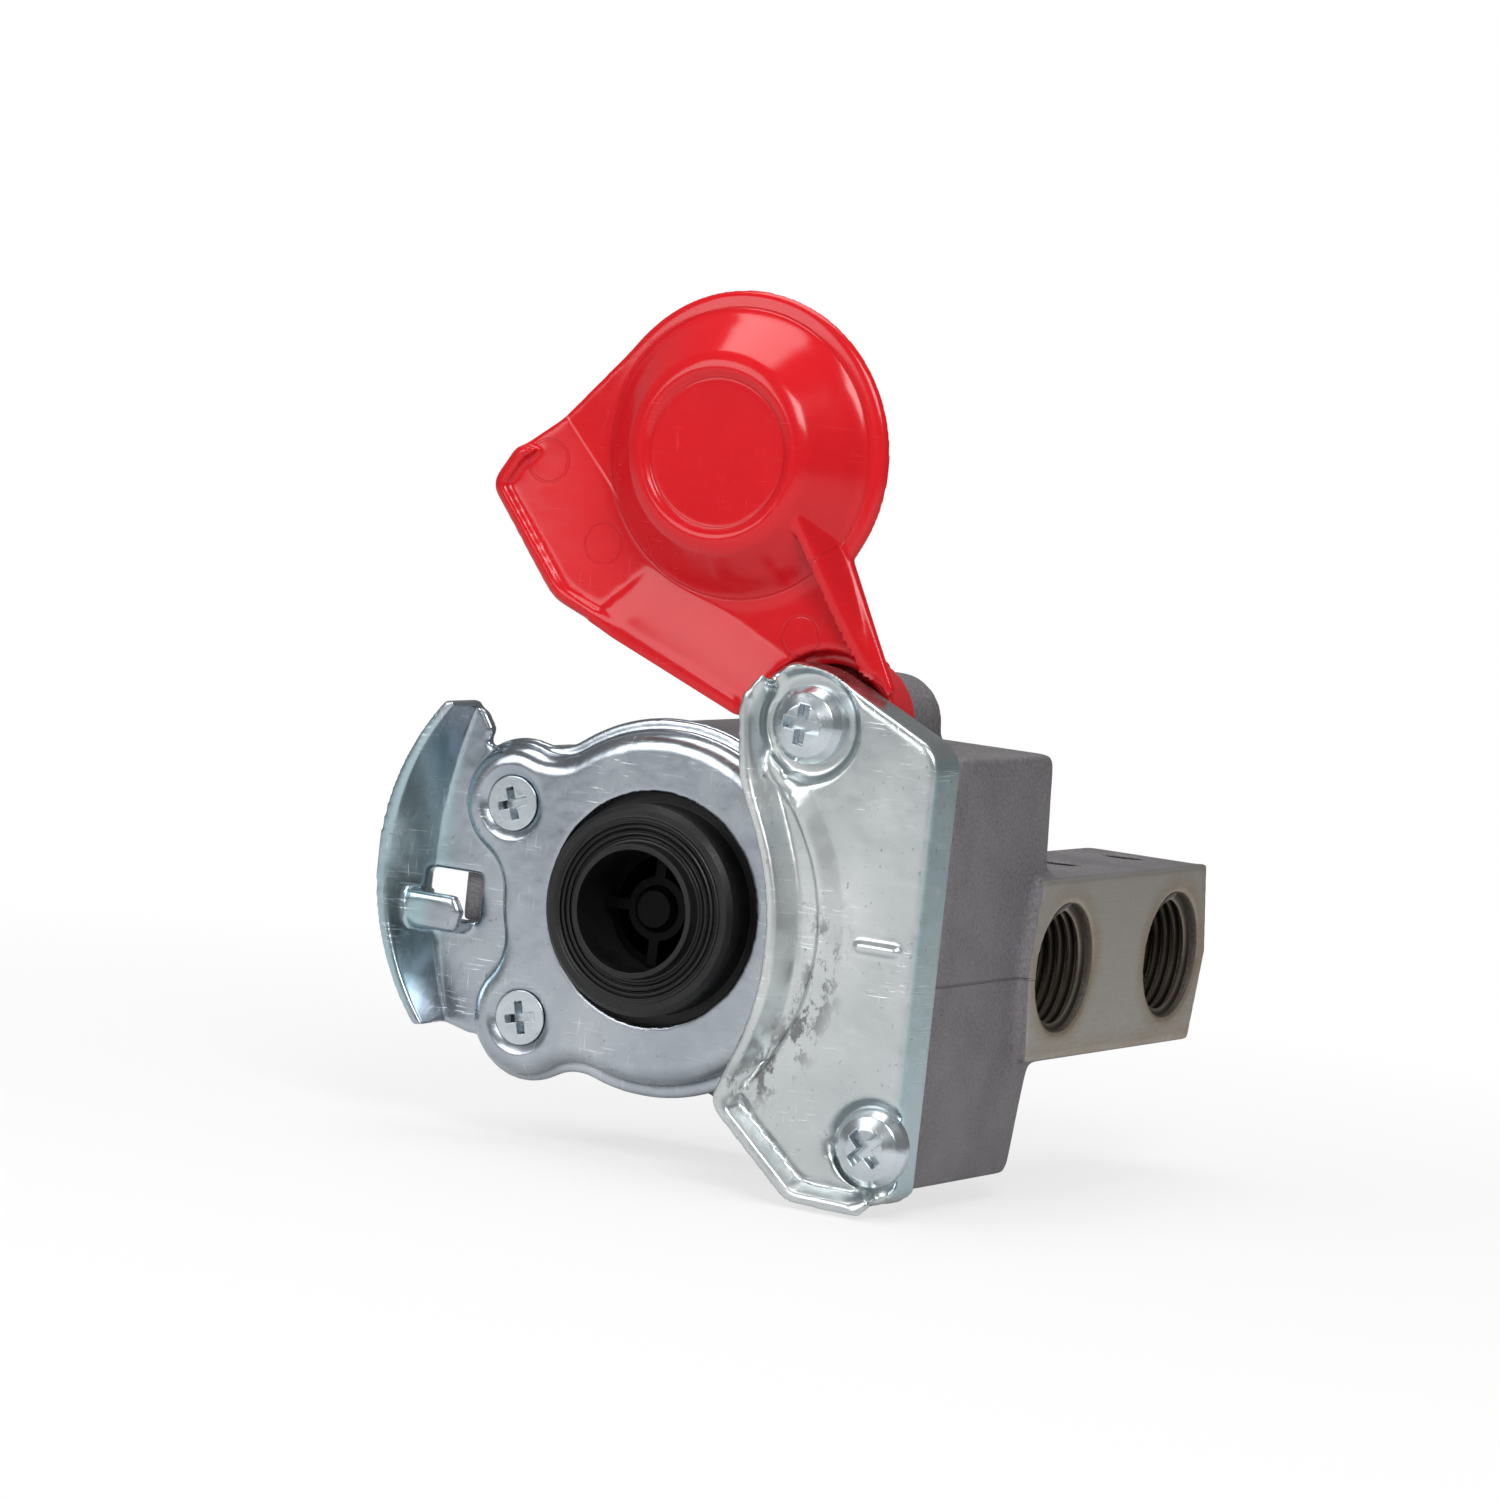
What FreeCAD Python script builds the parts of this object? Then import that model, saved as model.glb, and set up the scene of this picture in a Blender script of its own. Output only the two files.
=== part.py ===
import FreeCAD, Part
import math
import os
import Sketcher

# Gladhand air brake coupler, palm type, in millimetres.
# +Z is up, +X points to the two hose ports, and the seal looks towards -Y.
# The origin lies on the axis of the seal, on the flat face of the front plate.
# A die-cast housing carries a pressed front plate with its claw, a pressed guide bracket,
# a rubber seal with a spring-loaded valve behind it, and a moulded cover that swings on a sleeve.

doc = FreeCAD.newDocument("gladhand_coupler")
sheet = doc.addObject("Spreadsheet::Sheet", "dims")

# Driving dimensions: one alias and one number each
SIZES = [
    # seal ring and its seat
    ("seal_outer_r", 17.8), ("seal_bore_r", 10.3), ("seal_stand", 5.0), ("seal_lip_stand", 7.0),
    ("seal_lip_width", 1.3), ("seal_flange_r", 21.0), ("seal_flange_thick", 3.0),
    ("seal_groove_depth", 0.5), ("seal_groove_width", 0.45), ("seal_groove_step", 0.95),
    ("seal_seat_gap", 0.3), ("seal_edge_round", 0.9),
    # front plate
    ("plate_thick", 2.0), ("plate_hole_r", 19.6), ("plate_pad_r", 29.8), ("plate_brim_r", 32.0),
    ("plate_drop", 4.0), ("plate_edge_round", 3.2), ("plate_lobe_r", 9.9), ("plate_lobe_brim", 1.1),
    ("plate_blend_r", 9.0), ("plate_screw_1_x", -28.8), ("plate_screw_1_z", 14.0),
    ("plate_screw_2_x", -23.1), ("plate_screw_2_z", -21.9),
    # claw on the front plate
    ("claw_lip_x", -49.5), ("claw_lip_bulge", 10.4), ("claw_root_x", -43.8), ("claw_root_bulge", 4.4),
    ("claw_top_z", 29.8), ("claw_bottom_z", -25.2), ("claw_rise", 8.4), ("claw_edge", 1.9),
    ("claw_hole_width", 9.6), ("claw_hole_height", 7.6), ("claw_hole_x", -39.9), ("claw_hole_z", -3.1),
    ("nose_length", 11.4), ("nose_height", 6.4), ("nose_rise", 5.7), ("nose_x", -41.2),
    ("nose_z", -6.2), ("nose_wall", 1.9),
    # countersunk plate screws
    ("csk_head_r", 4.65), ("csk_head_depth", 2.5), ("csk_head_sink", 0.5), ("csk_dish_r", 6.1),
    ("csk_shank_r", 2.5), ("csk_length", 16.0), ("csk_recess_width", 1.4), ("csk_recess_reach", 2.8),
    # pan screws
    ("pan_head_r", 6.5), ("pan_head_height", 4.1), ("pan_shank_r", 3.0), ("pan_crown", 1.3),
    ("pan_recess_width", 1.9), ("pan_recess_reach", 3.4), ("recess_depth", 2.4), ("screw_hole_gap", 0.35),
    ("pivot_screw_grip", 13.0), ("bracket_screw_length", 21.0),
    # guide bracket
    ("sheet_thick", 1.6), ("bracket_floor", 8.9), ("bracket_groove", 7.0), ("bracket_rim", 11.4),
    ("bracket_side_x", 54.3), ("bracket_top_z", 44.6), ("bracket_left_x", 17.0),
    ("bracket_bottom_z", -43.5), ("bracket_waist_x", 31.5), ("bracket_waist_round", 45.0),
    ("ridge_r", 35.3), ("ridge_width", 5.4), ("ridge_height", 0.7), ("bend_round", 2.4),
    ("dish_r", 8.4), ("dish_slope", 1.5), ("corner_seat_r", 7.0), ("rim_width", 2.9),
    ("rim_lean", 2.4), ("detent_length", 8.0), ("detent_width", 2.0), ("detent_height", 0.9),
    ("detent_x", 47.0), ("detent_z", 0.6),
    # cover pivot and lower bracket screw
    ("pivot_x", 29.7), ("pivot_z", 35.3), ("corner_screw_x", 49.5), ("corner_screw_z", -31.9),
    ("sleeve_r", 4.6), ("sleeve_wall", 1.35), ("hub_bore_gap", 0.08),
    ("boss_front", 9.2), ("pivot_washer_thick", 0.5), ("pivot_washer_r", 8.2),
    # cover
    ("cover_open_deg", 116.5), ("cover_extra_reach", 1.2), ("cover_back", 0.4), ("cover_wall", 1.7),
    ("cap_r", 27.2), ("cap_depth", 10.8), ("cap_disc_r", 12.9), ("cap_crest_r", 15.3), ("cap_groove", 0.6),
    ("cover_lip_stand", 4.6), ("hub_r", 11.6), ("hub_wall", 1.8), ("hub_front", 0.5),
    ("collar_r", 13.8), ("skirt_gap", 0.4), ("collar_start_deg", 50.0), ("collar_end_deg", 190.0),
    ("fin_thick", 2.0), ("lip_width", 2.6),
    # cover spring
    ("cover_spring_r", 7.0), ("cover_spring_wire_r", 0.7), ("cover_spring_turns", 5.0),
    # housing
    ("body_r", 31.4), ("body_pad_r", 26.5), ("body_back", 38.0), ("body_lobe_r", 9.6),
    ("body_lobe_back", 24.0), ("hole_lug_x", -39.6), ("block_side_x", 54.0), ("block_inner_x", 10.0),
    ("block_top", 32.5),
    ("block_bottom", -39.0), ("block_back", 40.0), ("block_front", 9.4), ("block_pad_x", 37.5),
    ("boss_r", 8.4), ("boss_back", 26.0), ("corner_boss_half", 5.0), ("corner_boss_flat", 52.0),
    ("port_face_x", 56.3), ("port_inner_x", 32.0), ("port_top", 11.7), ("port_bottom", -19.7),
    ("port_start", 33.6), ("port_end", 102.5), ("port_nose", 3.4), ("port_axis_z", -3.9),
    ("port_1_y", 45.4), ("port_2_y", 89.9), ("port_r", 11.0), ("port_depth", 15.0),
    ("port_core_r", 6.0), ("port_channel_r", 5.0), ("channel_behind_port", 1.5), ("gusset_rise", 7.0),
    ("mount_hole_r", 3.6), ("mount_hole_x", 44.0), ("mount_hole_1_y", 65.0),
    ("mount_hole_2_y", 92.6), ("mount_hole_1_depth", 9.0), ("mount_hole_2_depth", 3.0),
    ("cast_round", 1.8), ("rear_draft_low", 2.6), ("rear_draft_high", 1.8),
    # valve
    ("valve_bore_r", 13.2), ("valve_bore_end", 34.0), ("guide_flange_r", 17.4),
    ("guide_flange_thick", 3.0), ("guide_tube_r", 12.9), ("guide_bore_r", 9.0), ("guide_end", 15.0),
    ("guide_hub_r", 5.4), ("guide_rib_width", 1.8), ("guide_rib_front", 2.2), ("stem_r", 3.9),
    ("stem_gap", 0.08), ("stem_front", 1.0), ("valve_head_r", 11.6), ("valve_head_thick", 2.0),
    ("valve_spigot_r", 5.2), ("valve_spigot_length", 4.0), ("valve_seat_gap", 0.1),
    ("disc_r", 11.0), ("disc_inner_r", 5.0), ("disc_thick", 2.2), ("disc_washer_r", 7.4),
    ("disc_washer_thick", 0.8), ("o_ring_wire_r", 0.9), ("o_ring_y", 11.5),
    ("valve_spring_r", 8.4), ("valve_spring_wire_r", 0.8), ("valve_spring_turns", 5.0),
    ("spring_plate_thick", 0.8), ("bore_gap", 0.1),
]

for row, (alias, number) in enumerate(SIZES, start=1):
    sheet.set("A%d" % row, alias)
    sheet.set("B%d" % row, str(number))
    sheet.setAlias("B%d" % row, alias)
doc.recompute()

X_AXIS = FreeCAD.Vector(1, 0, 0)
Y_AXIS = FreeCAD.Vector(0, 1, 0)
ORIGIN_POINT = FreeCAD.Vector(0, 0, 0)
# Cutters reach this far past the face that they open
THROUGH = 1.0
parts = []


def val(expression):
    """The number that an expression on the sheet's aliases gives now."""
    return float(sheet.evalExpression(expression))


def on_sheet(expression):
    """The same expression as another object's binding has to write it."""
    words = []
    word = ""
    for letter in expression + " ":
        if letter.isalnum() or letter == "_":
            word += letter
            continue
        is_alias = word and word[0].isalpha() and word not in ("sin", "cos", "sqrt", "deg", "tan")
        words.append(("dims." + word) if is_alias else word)
        words.append(letter)
        word = ""
    return "".join(words).strip()


def keep(piece, label):
    piece.Label = label
    parts.append(piece)
    return piece


def plane_of(body, role):
    return [plane for plane in body.Origin.OriginFeatures if plane.Role == role][0]


def bind(sketch, kind, references, expression):
    """Add one dimension to a sketch and bind it to the sheet."""
    index = sketch.addConstraint(Sketcher.Constraint(kind, *references, val(expression)))
    sketch.setExpression("Constraints[%d]" % index, on_sheet(expression))


def new_sketch(body, name, role, lift="0"):
    """A sketch on an origin plane of its own body, lifted along the plane's normal."""
    sketch = body.newObject("Sketcher::SketchObject", name)
    sketch.AttachmentSupport = [(plane_of(body, role), "")]
    sketch.MapMode = "FlatFace"
    if lift != "0":
        sketch.setExpression("AttachmentOffset.Base.z", on_sheet(lift))
    return sketch


def outline(sketch, corners):
    """A closed outline of straight runs through corners given as pairs of expressions."""
    points = [FreeCAD.Vector(val(u), val(v), 0) for u, v in corners]
    first = sketch.GeometryCount
    count = len(points)
    for i in range(count):
        sketch.addGeometry(Part.LineSegment(points[i], points[(i + 1) % count]), False)
    for i in range(count):
        sketch.addConstraint(Sketcher.Constraint("Coincident", first + i, 2, first + (i + 1) % count, 1))
    for i, (u, v) in enumerate(corners):
        bind(sketch, "DistanceX", (-1, 1, first + i, 1), u)
        bind(sketch, "DistanceY", (-1, 1, first + i, 1), v)


def circle(sketch, u, v, radius):
    """A circle whose centre and radius are bound to the sheet."""
    centre = FreeCAD.Vector(val(u), val(v), 0)
    index = sketch.addGeometry(Part.Circle(centre, FreeCAD.Vector(0, 0, 1), val(radius)), False)
    bind(sketch, "DistanceX", (-1, 1, index, 3), u)
    bind(sketch, "DistanceY", (-1, 1, index, 3), v)
    bind(sketch, "Radius", (index,), radius)


def extruded(body, kind, name, sketch, length, reverse):
    """A Pad or Pocket with a bound length."""
    feature = body.newObject("PartDesign::" + kind, name)
    feature.Profile = sketch
    feature.setExpression("Length", on_sheet(length))
    feature.Reversed = reverse
    return feature


def revolve(body, kind, name, corners):
    """A Revolution or Groove about the body's Y axis from (radius, y) corners."""
    sketch = new_sketch(body, name + "_profile", "XY_Plane")
    outline(sketch, corners)
    feature = body.newObject("PartDesign::" + kind, name)
    feature.Profile = sketch
    feature.ReferenceAxis = (sketch, ["V_Axis"])
    feature.Angle = 360
    return feature


def place(body, x, z):
    body.setExpression("Placement.Base.x", on_sheet(x))
    body.setExpression("Placement.Base.z", on_sheet(z))


def turned(label, corners, x="0", z="0"):
    """A turned or moulded piece: one revolved profile about its own Y axis."""
    body = doc.addObject("PartDesign::Body", label)
    revolve(body, "Revolution", label + "_turning", corners)
    place(body, x, z)
    return keep(body, label)


def cross_recess(body, label, face_y, turn_deg, size):
    """The cross-shaped driver recess in a screw's head, cut from its front."""
    half = size + "_width / 2"
    reach = size + "_reach"
    quarter = [(half, reach), (half, half), (reach, half)]
    corners = []
    for sign_u, sign_v in ((1, 1), (1, -1), (-1, -1), (-1, 1)):
        ring = quarter if sign_u * sign_v > 0 else quarter[::-1]
        corners += [("%d * (%s)" % (sign_u, u), "%d * (%s)" % (sign_v, v)) for u, v in ring]
    sketch = new_sketch(body, label + "_cross", "XZ_Plane", "-1 * (%s)" % face_y)
    sketch.AttachmentOffset = FreeCAD.Placement(sketch.AttachmentOffset.Base,
                                                FreeCAD.Rotation(FreeCAD.Vector(0, 0, 1), turn_deg))
    outline(sketch, corners)
    extruded(body, "Pocket", label + "_recess", sketch, "recess_depth", False)


def rounded(points):
    """A closed wire in the XZ plane through (x, z, round) corners, with tangent arcs."""
    edges = []
    count = len(points)
    starts = []
    ends = []
    mids = []
    for i, (x, z, radius) in enumerate(points):
        corner = FreeCAD.Vector(x, 0, z)
        before = FreeCAD.Vector(points[i - 1][0], 0, points[i - 1][1]).sub(corner)
        after = FreeCAD.Vector(points[(i + 1) % count][0], 0, points[(i + 1) % count][1]).sub(corner)
        before.normalize()
        after.normalize()
        half_angle = before.getAngle(after) / 2
        if radius == 0:
            starts.append(corner)
            mids.append(None)
            ends.append(corner)
            continue
        along = radius / math.tan(half_angle)
        inward = before.add(after)
        inward.normalize()
        starts.append(corner.add(before * along))
        ends.append(corner.add(after * along))
        mids.append(corner.add(inward * (radius / math.sin(half_angle) - radius)))
    for i in range(count):
        if mids[i] is not None:
            edges.append(Part.Arc(starts[i], mids[i], ends[i]).toShape())
        following = starts[(i + 1) % count]
        if ends[i].distanceToPoint(following) > 1e-6:
            edges.append(Part.LineSegment(ends[i], following).toShape())
    return Part.Wire(edges)


def offset(wire, distance):
    return wire.makeOffset2D(distance) if abs(distance) > 1e-9 else wire


def prism(wire, front, back):
    """The solid between two planes of constant y whose outline is the wire."""
    face = Part.Face(wire)
    face.translate(FreeCAD.Vector(0, front, 0))
    return face.extrude(FreeCAD.Vector(0, back - front, 0))


def drum(x, z, radius, front, back):
    """A cylinder along +Y."""
    return Part.makeCylinder(radius, back - front, FreeCAD.Vector(x, front, z), Y_AXIS)


def block(low, high):
    return Part.makeBox(high[0] - low[0], high[1] - low[1], high[2] - low[2], FreeCAD.Vector(*low))


def spun(corners, x=0.0, z=0.0, start_deg=0.0, sweep_deg=360.0):
    """A solid revolved about an axis along Y, from (radius, y) corners."""
    points = [FreeCAD.Vector(radius, y, 0) for radius, y in corners]
    face = Part.Face(Part.makePolygon(points + points[:1]))
    # A turn about -Y runs from +X towards +Z, as angles do seen from the front
    face.rotate(ORIGIN_POINT, Y_AXIS, -start_deg)
    solid = face.revolve(ORIGIN_POINT, FreeCAD.Vector(0, -1, 0), sweep_deg)
    solid.translate(FreeCAD.Vector(x, 0, z))
    return solid


def polar(x, z, radius, degrees):
    angle = math.radians(degrees)
    return FreeCAD.Vector(x + radius * math.cos(angle), 0, z + radius * math.sin(angle))


def edges_at(shape, y, reach=1e-4):
    """The edges that lie in a plane of constant y."""
    return [e for e in shape.Edges if abs(e.BoundBox.YMin - y) < reach and abs(e.BoundBox.YMax - y) < reach]


def solid_feature(label, shape):
    """A piece whose shape is set from the sheet's sizes in this file."""
    feature = doc.addObject("Part::Feature", label)
    feature.Shape = shape.removeSplitter() if len(shape.Solids) == 1 else shape
    feature.Placement = FreeCAD.Placement()
    return keep(feature, label)


def helix_coil(label, radius, wire_r, pitch, height, start_y, x="0", z="0"):
    """A coil spring along Y, wound from a round wire."""
    body = doc.addObject("PartDesign::Body", label)
    sketch = new_sketch(body, label + "_section", "XY_Plane")
    circle(sketch, radius, start_y, wire_r)
    coil = body.newObject("PartDesign::AdditiveHelix", label + "_coil")
    coil.Profile = sketch
    coil.ReferenceAxis = (sketch, ["V_Axis"])
    coil.Mode = 0
    coil.setExpression("Pitch", on_sheet(pitch))
    coil.setExpression("Height", on_sheet(height))
    place(body, x, z)
    return keep(body, label)


# Shared places, worked out from the sheet
cover_reach = "sqrt(pivot_x * pivot_x + pivot_z * pivot_z)"
PIVOT = (val("pivot_x"), val("pivot_z"))
REACH = val(cover_reach)
CAP = polar(PIVOT[0], PIVOT[1], REACH + val("cover_extra_reach"), val("cover_open_deg"))
PLATE_SCREWS = (("plate_screw_1_x", "plate_screw_1_z"), ("plate_screw_2_x", "plate_screw_2_z"))


def arc_in_plan(x, bulge, top, bottom):
    """Three points of an upright arc whose middle stands furthest left."""
    middle = (top + bottom) / 2
    return [FreeCAD.Vector(x + bulge, 0, top), FreeCAD.Vector(x, 0, middle),
            FreeCAD.Vector(x + bulge, 0, bottom)]


def claw_section(x, bulge, shift, y):
    """A closed crescent in a plane of constant y: one edge of the claw's leaning wall."""
    top = val("claw_top_z")
    bottom = val("claw_bottom_z")
    inner = arc_in_plan(x, bulge, top, bottom)
    outer = arc_in_plan(x - shift, bulge, top + shift * 0.2, bottom - shift * 0.2)
    edges = [Part.Arc(*inner).toShape(), Part.LineSegment(inner[2], outer[2]).toShape(),
             Part.Arc(*outer[::-1]).toShape(), Part.LineSegment(outer[0], inner[0]).toShape()]
    wire = Part.Wire(edges)
    wire.translate(FreeCAD.Vector(0, y, 0))
    return wire


def lobed_plan(round_r, lobe_r, screws):
    """Plan of a round with a lobe at each plate screw, its inner corners blended."""
    discs = [Part.Face(Part.Wire(Part.makeCircle(radius, FreeCAD.Vector(x, 0, z),
                                                 FreeCAD.Vector(0, -1, 0))))
             for x, z, radius in [(0.0, 0.0, round_r)] + [(x, z, lobe_r) for x, z in screws]]
    plan = discs[0].fuse(discs[1:]).removeSplitter().Faces[0].OuterWire
    blend = val("plate_blend_r")
    return offset(offset(plan, blend), -blend)


def build_front_plate():
    """One pressing: raised pad with a rolled edge, brim, and a claw with a lanced nose."""
    thick = val("plate_thick")
    drop = val("plate_drop")
    back = drop + thick
    screws = [(val(x), val(z)) for x, z in PLATE_SCREWS]
    lobe = val("plate_lobe_r")
    pad = lobed_plan(val("plate_pad_r"), lobe, screws)
    brim = lobed_plan(val("plate_brim_r"), lobe + val("plate_lobe_brim"), screws)

    # Claw: a wall that leans out and forward from the land, and narrows to its ends
    rise = val("claw_rise")
    lip_x = val("claw_lip_x")
    root_x = val("claw_root_x")
    lip_bulge = val("claw_lip_bulge")
    root_bulge = val("claw_root_bulge")
    past = thick / rise
    foot_x = root_x + (root_x - lip_x) * past
    foot_bulge = root_bulge + (root_bulge - lip_bulge) * past
    edge = val("claw_edge")
    claw = Part.makeLoft([claw_section(lip_x, lip_bulge, edge, drop - rise),
                          claw_section(foot_x, foot_bulge, edge, back)], True, True)

    # Land between the claw and the pad, with its notch beside the upper lobe
    top = val("claw_top_z")
    bottom = val("claw_bottom_z")
    upper_x, upper_z = screws[0]
    lower_x, lower_z = screws[1]
    root_top = root_x + root_bulge
    land = prism(rounded([
        (root_top - 1.0, top, 0), (root_top + 1.6, top - 1.5, 1.0), (root_top + 3.4, top - 4.2, 1.2),
        (root_top + 2.6, top - 6.6, 0.8), (upper_x, upper_z + 6.0, 0), (0.0, 0.0, 0),
        (lower_x, lower_z - 4.0, 0),
        (root_top + 4.6, bottom - 1.4, 1.5), (root_top - 1.0, bottom, 0), (root_x + 0.6, bottom + 14.0, 0),
        (root_x - 0.4, (top + bottom) / 2, 0), (root_x + 0.6, top - 14.0, 0)]), drop, back)

    shape = prism(pad, 0.0, back)
    shape = shape.makeFillet(val("plate_edge_round"), edges_at(shape, 0.0))
    shape = shape.fuse([prism(brim, drop, back), claw, land])
    # The pad is hollow behind, one sheet thick, and the housing's nose fills it
    hollow = prism(offset(pad, -thick), thick, back + THROUGH)
    hollow = hollow.makeFillet(val("plate_edge_round") - thick, edges_at(hollow, thick))
    shape = shape.cut(hollow)
    shape = shape.cut(drum(0.0, 0.0, val("plate_hole_r"), -THROUGH, back))

    # Countersunk seats, each in a shallow dish
    head_r = val("csk_head_r") + 0.1
    sink = val("csk_head_sink")
    shank = val("csk_shank_r") + val("screw_hole_gap")
    dish_r = val("csk_dish_r")
    for x, z in screws:
        cone = spun([(0.0, -THROUGH), (dish_r + THROUGH, -THROUGH), (dish_r, 0.0), (head_r, sink + 0.3),
                     (shank, sink + val("csk_head_depth") + 0.1), (shank, back), (0.0, back)], x, z)
        shape = shape.cut(cone)

    # Lanced hole in the land, and the hollow nose bent forward out of its lower edge
    half_x = val("claw_hole_width") / 2
    half_z = val("claw_hole_height") / 2
    hole_x = val("claw_hole_x")
    hole_z = val("claw_hole_z")
    hole = rounded([(hole_x - half_x, hole_z - half_z, 1.0), (hole_x + half_x, hole_z - half_z, 1.6),
                    (hole_x + half_x, hole_z + half_z, 1.6), (hole_x - half_x, hole_z + half_z, 0.6)])
    shape = shape.cut(prism(hole, drop - rise, back + THROUGH))
    half = val("nose_length") / 2
    high = val("nose_height") / 2
    nose_x = val("nose_x")
    nose_z = val("nose_z")
    wall = val("nose_wall")
    front = drop - val("nose_rise")
    plan = rounded([(nose_x - half, nose_z - high, 2.6), (nose_x + half - 0.8, nose_z - high, 1.6),
                    (nose_x + half, nose_z + high * 0.2, 0.8), (nose_x + half - 1.6, nose_z + high, 0.8),
                    (nose_x - half, nose_z + high, 0.4)])
    nose = prism(plan, front, back)
    nose = nose.makeFillet(1.2, [e for e in edges_at(nose, front) if e.BoundBox.ZMax < nose_z + high - 0.5])
    room = block((nose_x - half + wall, front + wall, nose_z - high + wall),
                 (hole_x + half_x, back + THROUGH, hole_z + half_z))
    shape = shape.cut(room).fuse(nose.cut(room))
    return solid_feature("front_plate", shape)


def bracket_outline():
    """Plan of the guide bracket, clockwise from its top left corner seen from the front."""
    left = val("bracket_left_x")
    top = val("bracket_top_z")
    side = val("bracket_side_x")
    bottom = val("bracket_bottom_z")
    return rounded([
        (left, top + 0.8, 8.5), (left + 15.0, top - 0.2, 14.0), (side, top - 10.8, 5.5),
        (side, bottom + 4.4, 2.5), (side - 4.2, bottom + 0.3, 3.0), (side - 18.0, bottom + 0.7, 6.0),
        (left + 3.1, bottom + 14.8, 4.0), (val("bracket_waist_x"), -0.4, val("bracket_waist_round")),
        (left + 2.2, top - 19.0, 14.0)])


def island_outline():
    """Plan of the bracket's raised floor, before the round groove is taken off its left."""
    left = val("bracket_left_x")
    top = val("bracket_top_z")
    side = val("bracket_side_x")
    bottom = val("bracket_bottom_z")
    return rounded([
        (left + 6.5, top + 1.0, 3.0), (left + 15.0, top, 14.0), (side, top - 10.8, 5.5),
        (side, bottom + 4.3, 2.0), (side - 16.6, bottom + 4.4, 5.0), (left + 4.6, bottom + 18.4, 2.0)])


def build_guide_bracket():
    """One pressing that holds a raised floor, a round groove, a flared rim and a folded skirt."""
    sheet_t = val("sheet_thick")
    floor = -val("bracket_floor")
    groove = -val("bracket_groove")
    rim = -val("bracket_rim")
    bend = val("bend_round")
    ridge_r = val("ridge_r")
    side = val("bracket_side_x")
    top = val("bracket_top_z")
    bottom = val("bracket_bottom_z")
    left = val("bracket_left_x")
    plan = bracket_outline()
    island = island_outline()
    # Free side of the pressing, open to the mating claw: left and bottom
    free_side = prism(rounded([(left - 20.0, top - 1.0, 0), (left + 5.0, top - 1.0, 0),
                               (val("bracket_waist_x"), 8.0, 0), (val("bracket_waist_x"), -18.0, 0),
                               (side - 10.0, bottom + 8.0, 0), (side - 2.6, bottom + 3.2, 0),
                               (side - 2.6, bottom - 10.0, 0), (left - 20.0, bottom - 10.0, 0)]),
                      rim - THROUGH, THROUGH)

    # Outer surface: groove level with its rolled bend, and the floor raised on it
    outer = prism(plan, groove, 0.0)
    outer = outer.makeFillet(bend * 0.5, edges_at(outer, groove))
    raised = prism(island, floor, -THROUGH).cut(drum(0.0, 0.0, ridge_r, floor - THROUGH, 0.0))
    raised = raised.makeFillet(bend * 0.5, edges_at(raised, floor))
    outer = outer.fuse(raised)

    # Rim: a wall that leans outward from the groove, on the left and along the bottom
    lean = val("rim_lean")
    width = val("rim_width")
    rims = []
    for inset, y in ((0.0, rim), (lean, groove + sheet_t), (width - lean * 0.45, rim - 0.01),
                     (width + lean * 0.55, groove)):
        wire = offset(plan, -inset) if inset else plan.copy()
        wire.translate(FreeCAD.Vector(0, y, 0))
        rims.append(wire)
    rim_wall = Part.makeLoft(rims[:2], True, True).cut(Part.makeLoft(rims[2:], True, True))
    outer = outer.cut(free_side.cut(prism(offset(plan, -lean), floor - THROUGH, 2 * THROUGH)))
    outer = outer.fuse(rim_wall.common(free_side))

    # Ridge that runs round the groove's outer side
    width_r = val("ridge_width")
    height_r = val("ridge_height")
    ridge = spun([(ridge_r + 0.4, floor + 0.5), (ridge_r + 0.9, floor - height_r),
                  (ridge_r + 1.9, floor - height_r),
                  (ridge_r + width_r, floor), (ridge_r + width_r, floor + 0.5)], 0.0, 0.0, -48.0, 88.0)
    outer = outer.fuse(ridge.common(prism(offset(island, -1.5), floor - 2.0, floor + 1.0)))

    # Inside of the floor and of the groove level
    inner = prism(offset(island, -sheet_t), floor + sheet_t, THROUGH)
    inner = inner.cut(drum(0.0, 0.0, ridge_r + sheet_t, floor, 2 * THROUGH))
    inner = inner.fuse(prism(offset(plan, -sheet_t), groove + sheet_t, THROUGH))
    inner = inner.fuse(free_side.common(block((-60.0, groove + sheet_t, -60.0),
                                              (60.0, THROUGH, top - 6.0))))
    shape = outer.cut(inner)

    # Dish round the pivot screw and seat in the lower corner, one sheet thick behind
    slope = val("dish_slope")
    seats = ((PIVOT[0], PIVOT[1], val("dish_r")),
             (val("corner_screw_x"), val("corner_screw_z"), val("corner_seat_r")))
    limit = prism(offset(plan, -0.02), floor + 0.6, groove + sheet_t)
    for x, z, radius in seats:
        backing = drum(x, z, radius + sheet_t, groove, groove + sheet_t)
        backing = backing.fuse(spun([(radius + 0.3, groove), (radius + sheet_t + 0.3, groove),
                                     (radius + sheet_t + slope, floor + sheet_t),
                                     (radius + slope, floor + 0.6)], x, z))
        front_cut = spun([(0.0, floor - 3.0), (radius + slope * 1.4, floor - 3.0), (radius + slope, floor),
                          (radius, groove), (0.0, groove)], x, z)
        shape = shape.fuse(backing.common(limit)).cut(front_cut.cut(free_side))
        shape = shape.cut(drum(x, z, radius, groove - val("pan_head_height"), groove))
        shape = shape.cut(drum(x, z, val("pan_shank_r") + val("screw_hole_gap"), rim, THROUGH))

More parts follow.
